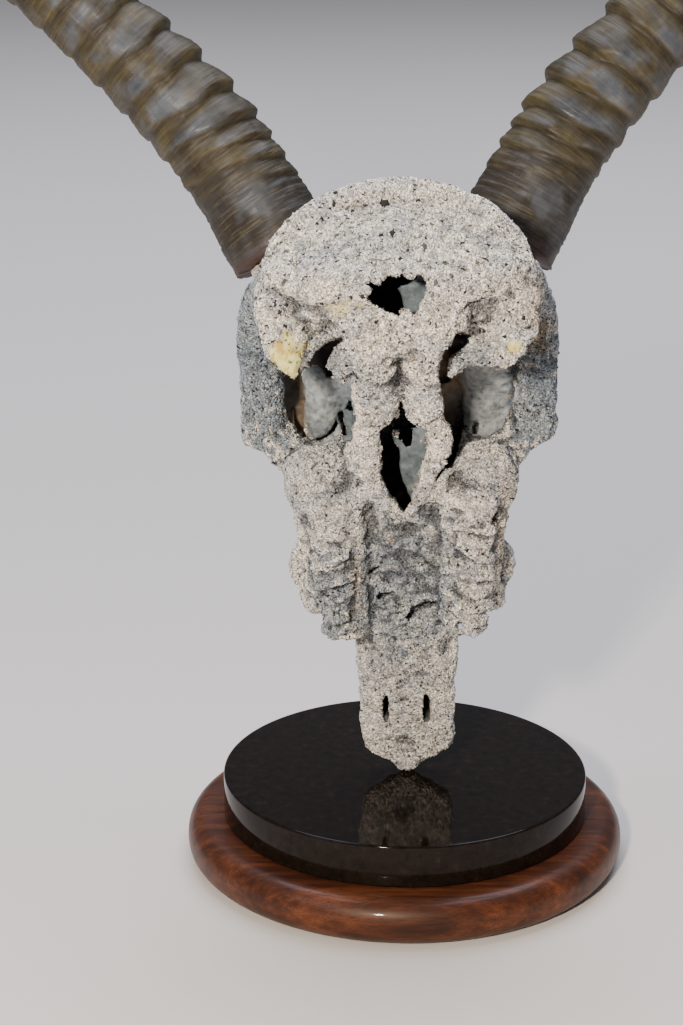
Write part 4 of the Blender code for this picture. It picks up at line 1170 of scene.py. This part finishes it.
crustColours = {
    "chips": [(0.0, (42, 40, 39)), (0.020, (86, 83, 81)), (0.046, (128, 116, 102)), (0.070, (152, 149, 144)),
              (0.15, (196, 191, 181)), (0.33, (222, 216, 206)), (0.57, (238, 233, 224)), (0.82, (251, 248, 242))],
    "paste": [(0.3, (108, 100, 90)), (0.5, (156, 148, 137)), (0.7, (190, 183, 172))],
    "wall": [(0.28, (70, 74, 74)), (0.36, (118, 122, 121)), (0.5, (146, 150, 149)), (0.7, (170, 173, 171))],
    # the painted brown shadow in the windows
    "brownShadow": [(0.3, (106, 90, 74)), (0.5, (132, 114, 94)), (0.7, (154, 136, 114))],
    # the near black painted shade in the deepest cavities
    "deep": (26, 23, 20),
    "bare": [(0.3, (72, 82, 86)), (0.5, (104, 114, 117)), (0.7, (134, 144, 145))],
    "yellow": [(0.28, (122, 104, 52)), (0.38, (196, 178, 98)), (0.52, (216, 206, 132)), (0.66, (226, 220, 168)),
               (0.8, (234, 230, 204))],
    "ochre": (176, 138, 68),
    # what the colour is multiplied by: painted bluish shade in the shaded places, painted brown shadow, and from
    # painted light on ridges to painted shade in hollows
    "shaded": (0.35, 0.43, 0.53, 1),
    "warmShadow": (0.62, 0.52, 0.42, 1),
    "hollow": [(0.22, (1.10, 1.09, 1.08)), (0.5, (1.0, 1.0, 1.0)), (0.68, (0.66, 0.68, 0.71)),
               (0.9, (0.34, 0.35, 0.37))],
}


def chipPaint():
    paint = Paint("stone chips", Roughness=0.82, Specular_IOR_Level=0.35)
    tone = paint.attribute("tone")
    place = paint.place()
    base = paint.ramp(tone, stops(crustColours["chips"]), hard=True)
    grain = paint.noise(place, 1900, 2.0)
    shades = [
        paint.ramp(grain, [(0.3, (0.72, 0.72, 0.72)), (0.7, (1.12, 1.11, 1.09))]),
        paint.ramp(paint.noise(place, 70, 4.0, 0.6), [(0.36, (0.80, 0.82, 0.86)), (0.60, (1.08, 1.05, 0.99))]),
        paint.ramp(paint.noise(place, 300, 3.0, 0.6), [(0.36, (0.58, 0.59, 0.61)), (0.54, (1.07, 1.07, 1.06))]),
        # painted light and shade: brighter on ridges and darker in hollows, bluish shade and brown shadow
        paint.ramp(paint.attribute("hollow"), crustColours["hollow"]),
        paint.blend(paint.attribute("shaded"), (1, 1, 1, 1), crustColours["shaded"]),
        paint.blend(paint.attribute("warmShadow"), (1, 1, 1, 1), crustColours["warmShadow"]),
    ]
    for shade in shades:
        base = paint.blend(1.0, base, shade, "MULTIPLY")
    base = paint.blend(paint.attribute("yellow"), base, paint.ramp(tone, stops(crustColours["yellow"])))
    base = paint.blend(paint.attribute("ochre"), base, colour(*crustColours["ochre"]))
    paint.link(base, "Base Color")
    paint.link(paint.bump(grain, 0.5, 0.00015), "Normal")
    return paint.material


def skinPaint():
    paint = Paint("crust paste", Roughness=0.9, Specular_IOR_Level=0.3)
    place = paint.place()
    fine = paint.noise(place, 900, 5.0, 0.7)
    base = paint.ramp(fine, stops(crustColours["paste"]))
    # painted light on ridges and painted shade in hollows
    base = paint.blend(1.0, base, paint.ramp(paint.attribute("hollow"), crustColours["hollow"]), "MULTIPLY")
    wall = paint.ramp(paint.noise(place, 420, 5.0), stops(crustColours["wall"]))
    base = paint.blend(paint.attribute("wall"), base, wall)
    # painted bluish shade, then painted brown shadow
    for name in ("shaded", "warmShadow"):
        shade = paint.blend(paint.attribute(name), (1, 1, 1, 1), crustColours[name])
        base = paint.blend(1.0, base, shade, "MULTIPLY")
    # painted brown shadow on the far walls of the windows
    brownShadow = paint.ramp(paint.noise(place, 260, 5.0), stops(crustColours["brownShadow"]))
    base = paint.blend(paint.attribute("brownShadow"), base, brownShadow)
    bare = paint.ramp(paint.noise(place, 260, 6.0, 0.65), stops(crustColours["bare"]))
    base = paint.blend(paint.attribute("bare"), base, bare)
    worn = paint.ramp(paint.noise(place, 260, 4.0), stops(crustColours["yellow"]))
    base = paint.blend(paint.attribute("yellow"), base, worn)
    base = paint.blend(paint.attribute("ochre"), base, colour(*crustColours["ochre"]))
    # near black in the deepest cavities and the beak's slits: painted shade
    base = paint.blend(paint.attribute("deep"), base, colour(*crustColours["deep"]))
    paint.link(base, "Base Color")
    paint.link(paint.bump(fine, 0.7, 0.0006), "Normal")
    return paint.material


crustPaint = chipPaint()
for obj in chipPieces:
    obj.data.materials.append(crustPaint)
    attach(obj, "root")
pick(skin)
bpy.ops.object.shade_smooth()
skin.data.materials.clear()
skin.data.materials.append(skinPaint())
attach(skin, "root")
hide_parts(*[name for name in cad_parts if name.startswith("skull_")])
print("crust painted")


# horns

hornShape = {
    "steps": ((0.0, 0.20, 0.0007), (0.20, 0.44, 0.0011), (0.44, 0.62, 0.0018)),
    "corners": 104,
    # ring positions in millimetres from the rim, low edge of each
    "rings": (23, 31.5, 40, 49, 62, 77, 94, 110, 125, 139.5, 153.5, 167.5, 181, 194, 206.5, 219, 231, 243, 254.5, 266,
              277, 288, 299, 309.5, 320, 330.5, 341, 351, 361, 371, 381, 391, 400.5, 410, 419.5, 429, 438),
    "heights": (0.7, 1.6, 2.1, 3.3, 3.7, 3.9, 3.6, 3.5),
    "slant": (10.0, 4.0),       # how much later a ring starts on the outer side, near the rim and further up
    "taper": 0.95,
    "deep": 1.06,
}


def ringHeight(along):
    # millimetres that the rings add at each length, a steep low edge and a long slope above it
    rings = hornShape["rings"]
    heights = hornShape["heights"]
    added = np.zeros_like(along)
    for i, start in enumerate(rings):
        end = rings[i + 1] if i + 1 < len(rings) else start + 9
        high = heights[min(i, len(heights) - 1)] * (1 - 0.55 * start / 450)
        t = (along - start) / (end - start)
        rise = fade(t, -0.07, 0.17)
        fall = 1 - np.clip((t - 0.17) / 0.83, 0, 1) ** 1.5
        added = np.maximum(added, np.where((t > -0.07) & (t < 1), rise * fall, 0) * high)
    return added * (1 - fade(along, 425, 455))


def hornPiece(side, name):
    lengths = np.concatenate([np.arange(*s) for s in hornShape["steps"]] + [np.array([hornAt["length"]])])
    corners = hornShape["corners"]
    turn = np.arange(corners) * 2 * math.pi / corners
    innerward = np.cos(turn - side * math.pi / 2)
    weight = 0.46 + 0.54 * fade(np.cos(turn - side * math.radians(72)), -0.6, 0.95)
    centres, fronts, acrosses = [], [], []
    place, done = Vector((0, 0, 0)), 0.0
    for length in lengths:
        while done < length - 1e-9:
            step = float(min(0.002, length - done))
            place = place + hornDirection(side, done + step / 2) * step
            done += step
        along = hornDirection(side, length)
        front = (Vector((0, 1, 0)) - along * along.y).normalized()
        centres.append(place.copy())
        fronts.append(front)
        acrosses.append(along.cross(front))
    rim = np.array(atPose @ (Vector((side * hornAt["rim"][0], *hornAt["rim"][1:])) * mm))
    centres, fronts, acrosses = np.array(centres) + rim, np.array(fronts), np.array(acrosses)
    share = (lengths / hornAt["length"]) ** hornShape["taper"]
    radius = hornAt["rimRadius"] * (1 - share) + hornAt["tipRadius"] * share
    # noise over (angle, length), the same at both ends of the turn
    ring = np.stack((np.cos(turn), np.sin(turn)), 1)
    grid = np.stack((np.broadcast_to(ring[:, 0], (len(lengths), corners)),
                     np.broadcast_to(ring[:, 1], (len(lengths), corners)),
                     np.broadcast_to(lengths[:, None] / mm, (len(lengths), corners))), -1)

    def field(around, along, seed):
        scaled = grid.reshape(-1, 3) * np.array((around, around, 1 / along))
        return roughField(scaled, 1.0, seed + side * 11).reshape(len(lengths), corners)

    sway = field(1.3, 18, 1) * 1.6
    near, far = hornShape["slant"]
    slant = near + (far - near) * fade(grid[..., 2], 30, 100)
    along = grid[..., 2] + sway - slant * (1 - innerward[None]) / 2
    added = ringHeight(along) * weight[None]
    uneven = field(2.4, 9, 2) * 0.35 + field(6.0, 4, 3) * 0.13
    lines = (field(1.1, 1.1, 4) * 0.30 * (1 - 0.55 * fade(grid[..., 2], 26, 60))
             * (1 - 0.8 * fade(grid[..., 2], 380, 460)))
    strands = field(13.0, 40, 5) * 0.10
    shape = (added - 0.9 * fade(grid[..., 2], 12, 40) + uneven * (1 - 0.7 * fade(grid[..., 2], 400, 480))
             + lines + strands)
    last = 1 - (1 - np.clip((hornAt["length"] - lengths) / 0.004, 0, 1)) ** 2
    swell = (radius[:, None] + shape * mm * (1 - fade(lengths, 0.585, 0.62))[:, None]) * (0.25 + 0.75 * last[:, None])
    outward = (fronts[:, None] * (np.cos(turn) * hornShape["deep"])[None, :, None]
               + acrosses[:, None] * np.sin(turn)[None, :, None])
    points = centres[:, None] + swell[..., None] * outward
    # a frayed rim: it starts a little later in places
    back = field(7.0, 6, 6)[0] * 0.0005 + np.abs(field(19.0, 6, 7)[0]) * 0.0006
    rimAlong = np.array(hornDirection(side, 0.0))
    for row in range(3):
        points[row] += np.maximum(back, 0)[:, None] * rimAlong * (1 - row / 3)
    obj = quickMesh(name, points.reshape(-1, 3), ringFaces(len(lengths), corners))
    # what the paint follows: place round the horn, length, and how high on a ring
    putVector(obj, "hornPlace", np.stack((grid[..., 0] * 0.018, grid[..., 1] * 0.018, grid[..., 2] * mm), -1))
    putNumber(obj, "ring", np.clip(added / 3.0, 0, 1).ravel())
    putNumber(obj, "length", (grid[..., 2] / 620).ravel())
    # the side towards the camera, where the worn polish and a painted sheen go
    facing = np.clip(np.cos(turn - math.pi - side * 0.12), 0, 1) ** 3
    putNumber(obj, "wearAndSheen", np.broadcast_to(facing, added.shape).ravel())
    pick(obj)
    bpy.ops.object.shade_smooth()
    return obj


hornColours = {
    "keratin": [(0.25, (29, 24, 14)), (0.42, (49, 41, 24)), (0.56, (70, 61, 37)), (0.72, (97, 85, 54))],
    # polished: the worn band's grey, which is painted sheen as well as polish
    "polished": [(0.3, (54, 58, 64)), (0.55, (80, 84, 90)), (0.75, (108, 110, 112))],
    "groove": (34, 28, 20),
    "line": (97, 85, 59),
    "rim": (58, 36, 26),
    "tip": (34, 29, 25),
    "fibre": (70, 58, 42),
}


def hornPaint():
    paint = Paint("horn keratin", Specular_IOR_Level=0.34)
    place = paint.place(source="hornPlace")
    cloudy = paint.noise(place, 90, 5.0, 0.6)
    stretched = paint.node("ShaderNodeMapping", Vector=place, Scale=(1.0, 1.0, 14.0)).outputs["Vector"]
    growth = paint.noise(stretched, 75, 4.0, 0.6)
    lengthwise = paint.node("ShaderNodeMapping", Vector=place, Scale=(1.0, 1.0, 0.10)).outputs["Vector"]
    fibres = paint.noise(lengthwise, 900, 3.0, 0.6)
    mixed = paint.maths("ADD", paint.maths("MULTIPLY", cloudy, 0.5), paint.maths("MULTIPLY", growth, 0.5))
    base = paint.ramp(mixed, stops(hornColours["keratin"]))
    # dark where the rings are low: painted shade under each ring's steep edge, and darker on the smooth base and tip
    low = paint.attribute("ring")
    base = paint.blend(paint.ramp(low, [(0.0, (0.85, 0.85, 0.85)), (0.25, (0, 0, 0))]), base,
                       colour(*hornColours["groove"]))
    lines = paint.ramp(growth, [(0.56, (0, 0, 0)), (0.62, (0.5, 0.5, 0.5)), (0.68, (0, 0, 0))])
    start = paint.spread(paint.attribute("length"), 0.03, 0.10, 1.0, 0.15)
    base = paint.blend(paint.maths("MULTIPLY", lines, start), base, colour(*hornColours["line"]))
    start = paint.spread(paint.attribute("length"), 0.03, 0.06, 0.7, 0.0)
    flats = paint.maths("MAXIMUM", paint.spread(low, 0.18, 0.42), start)
    # worn polish on the side towards the camera, painted pale bluish grey as a painted sheen too
    worn = paint.maths("MULTIPLY", paint.maths("MULTIPLY", paint.attribute("wearAndSheen"), flats),
                       paint.ramp(paint.noise(place, 60, 3.0), [(0.40, (0, 0, 0)), (0.56, (0.9, 0.9, 0.9))]))
    base = paint.blend(worn, base, paint.ramp(cloudy, stops(hornColours["polished"])))
    fibrous = paint.ramp(fibres, [(0.55, (0, 0, 0)), (0.75, (0.35, 0.35, 0.35))])
    atRim = paint.spread(paint.attribute("length"), 0.0, 0.012, 0.85, 0.0)
    atTip = paint.spread(paint.attribute("length"), 0.62, 0.86, 0.0, 0.9)
    for share, name in ((fibrous, "fibre"), (atRim, "rim"), (atTip, "tip")):
        base = paint.blend(share, base, colour(*hornColours[name]))
    paint.link(base, "Base Color")
    rough = paint.maths("SUBTRACT", paint.spread(cloudy, 0.3, 0.7, 0.46, 0.66), paint.maths("MULTIPLY", worn, 0.16))
    paint.link(rough, "Roughness")
    fine = paint.bump(growth, 0.35, 0.0008)
    paint.link(paint.bump(fibres, 0.22, 0.0004, fine), "Normal")
    return paint.material


keratinPaint = hornPaint()
for side, name in ((1, "right"), (-1, "left")):
    obj = hornPiece(side, "ringed_horn_" + name)
    obj.data.materials.append(keratinPaint)
    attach(obj, "root")
    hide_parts("horn_" + name)
print("horns grown")


# granite disc and walnut base

stand = {
    "corners": 192,
    "granite": {"radius": 0.0762, "low": 0.0193, "high": 0.037, "edge": 0.0009, "rounds": 3},
    "walnut": {"radius": 0.0915, "low": 0.0, "high": 0.019, "edge": 0.0085, "rounds": 10},
    "granite clouds": [(0.35, (16, 11, 8)), (0.6, (27, 20, 15)), (0.75, (42, 36, 31))],
    "granite fleck": (44, 46, 50),
    "walnut grain": [(0.33, (36, 17, 9)), (0.46, (63, 31, 17)), (0.56, (86, 45, 24)), (0.68, (113, 62, 34))],
    "walnut pore": (38, 20, 12),
}


def discPiece(name, radius, low, high, edge, rounds):
    deselectAll()
    bpy.ops.mesh.primitive_cylinder_add(vertices=stand["corners"], radius=radius, depth=high - low,
                                        location=(0, 0, (low + high) / 2))
    obj = bpy.context.object
    obj.name = name
    bpy.ops.object.transform_apply(location=True, rotation=False, scale=False)
    soften = obj.modifiers.new("edge", "BEVEL")
    soften.width = edge
    soften.segments = rounds
    soften.limit_method = "ANGLE"
    finishModifier(obj, soften)
    # the two flat faces are drawn in, so that they shade flat beside the round edge
    bpy.ops.object.mode_set(mode="EDIT")
    bpy.ops.mesh.select_all(action="DESELECT")
    bpy.ops.mesh.select_mode(type="FACE")
    bpy.ops.object.mode_set(mode="OBJECT")
    for face in obj.data.polygons:
        face.select = len(face.vertices) > 20
    bpy.ops.object.mode_set(mode="EDIT")
    bpy.ops.mesh.inset(thickness=0.0006)
    bpy.ops.mesh.poke()
    bpy.ops.object.mode_set(mode="OBJECT")
    bpy.ops.object.shade_smooth_by_angle(angle=math.radians(40))
    return obj


def granitePaint():
    paint = Paint("polished granite", Roughness=0.07, Specular_IOR_Level=0.14)
    place = paint.place()
    flecks = paint.node("ShaderNodeTexVoronoi", Vector=place, Scale=620.0).outputs["Distance"]
    clouds = paint.noise(place, 240, 6.0, 0.7)
    base = paint.ramp(clouds, stops(stand["granite clouds"]))
    flecked = paint.ramp(flecks, [(0.05, (0.5, 0.5, 0.5)), (0.16, (0, 0, 0))])
    base = paint.blend(flecked, base, colour(*stand["granite fleck"]))
    paint.link(base, "Base Color")
    wavy = paint.noise(paint.place(scale=(1, 1, 2.2)), 55, 2.0)
    paint.link(paint.bump(wavy, 0.06, 0.0012), "Normal")
    return paint.material


def walnutPaint():
    paint = Paint("varnished walnut", Roughness=0.45, Specular_IOR_Level=0.25, Specular_Tint=(1, 0.85, 0.7, 1),
                  Coat_Weight=0.13, Coat_Roughness=0.07)
    place = paint.place(scale=(1.0, 9.0, 9.0), turn=(0, 0, 0.05))
    wander = paint.noise(place, 9, 3.0, 0.5)
    grain = paint.noise(place, 34, 6.0, 0.65)
    pores = paint.noise(paint.place(scale=(1.0, 14.0, 14.0), turn=(0, 0, 0.05)), 160, 2.0, 0.6)
    mixed = paint.maths("ADD", paint.maths("MULTIPLY", wander, 0.45), paint.maths("MULTIPLY", grain, 0.55))
    base = paint.ramp(mixed, stops(stand["walnut grain"]))
    porous = paint.ramp(pores, [(0.36, (0.7, 0.7, 0.7)), (0.46, (0, 0, 0))])
    base = paint.blend(porous, base, colour(*stand["walnut pore"]))
    paint.link(base, "Base Color")
    paint.link(paint.bump(grain, 0.06, 0.0008), "Normal")
    return paint.material


disc = discPiece("granite_disc", **stand["granite"])
disc.data.materials.append(granitePaint())
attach(disc, "root")
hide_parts("stand_granite_disc")

base = discPiece("walnut_base", **stand["walnut"])
base.data.materials.append(walnutPaint())
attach(base, "root")
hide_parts("stand_walnut_base")
print("stand turned and polished")
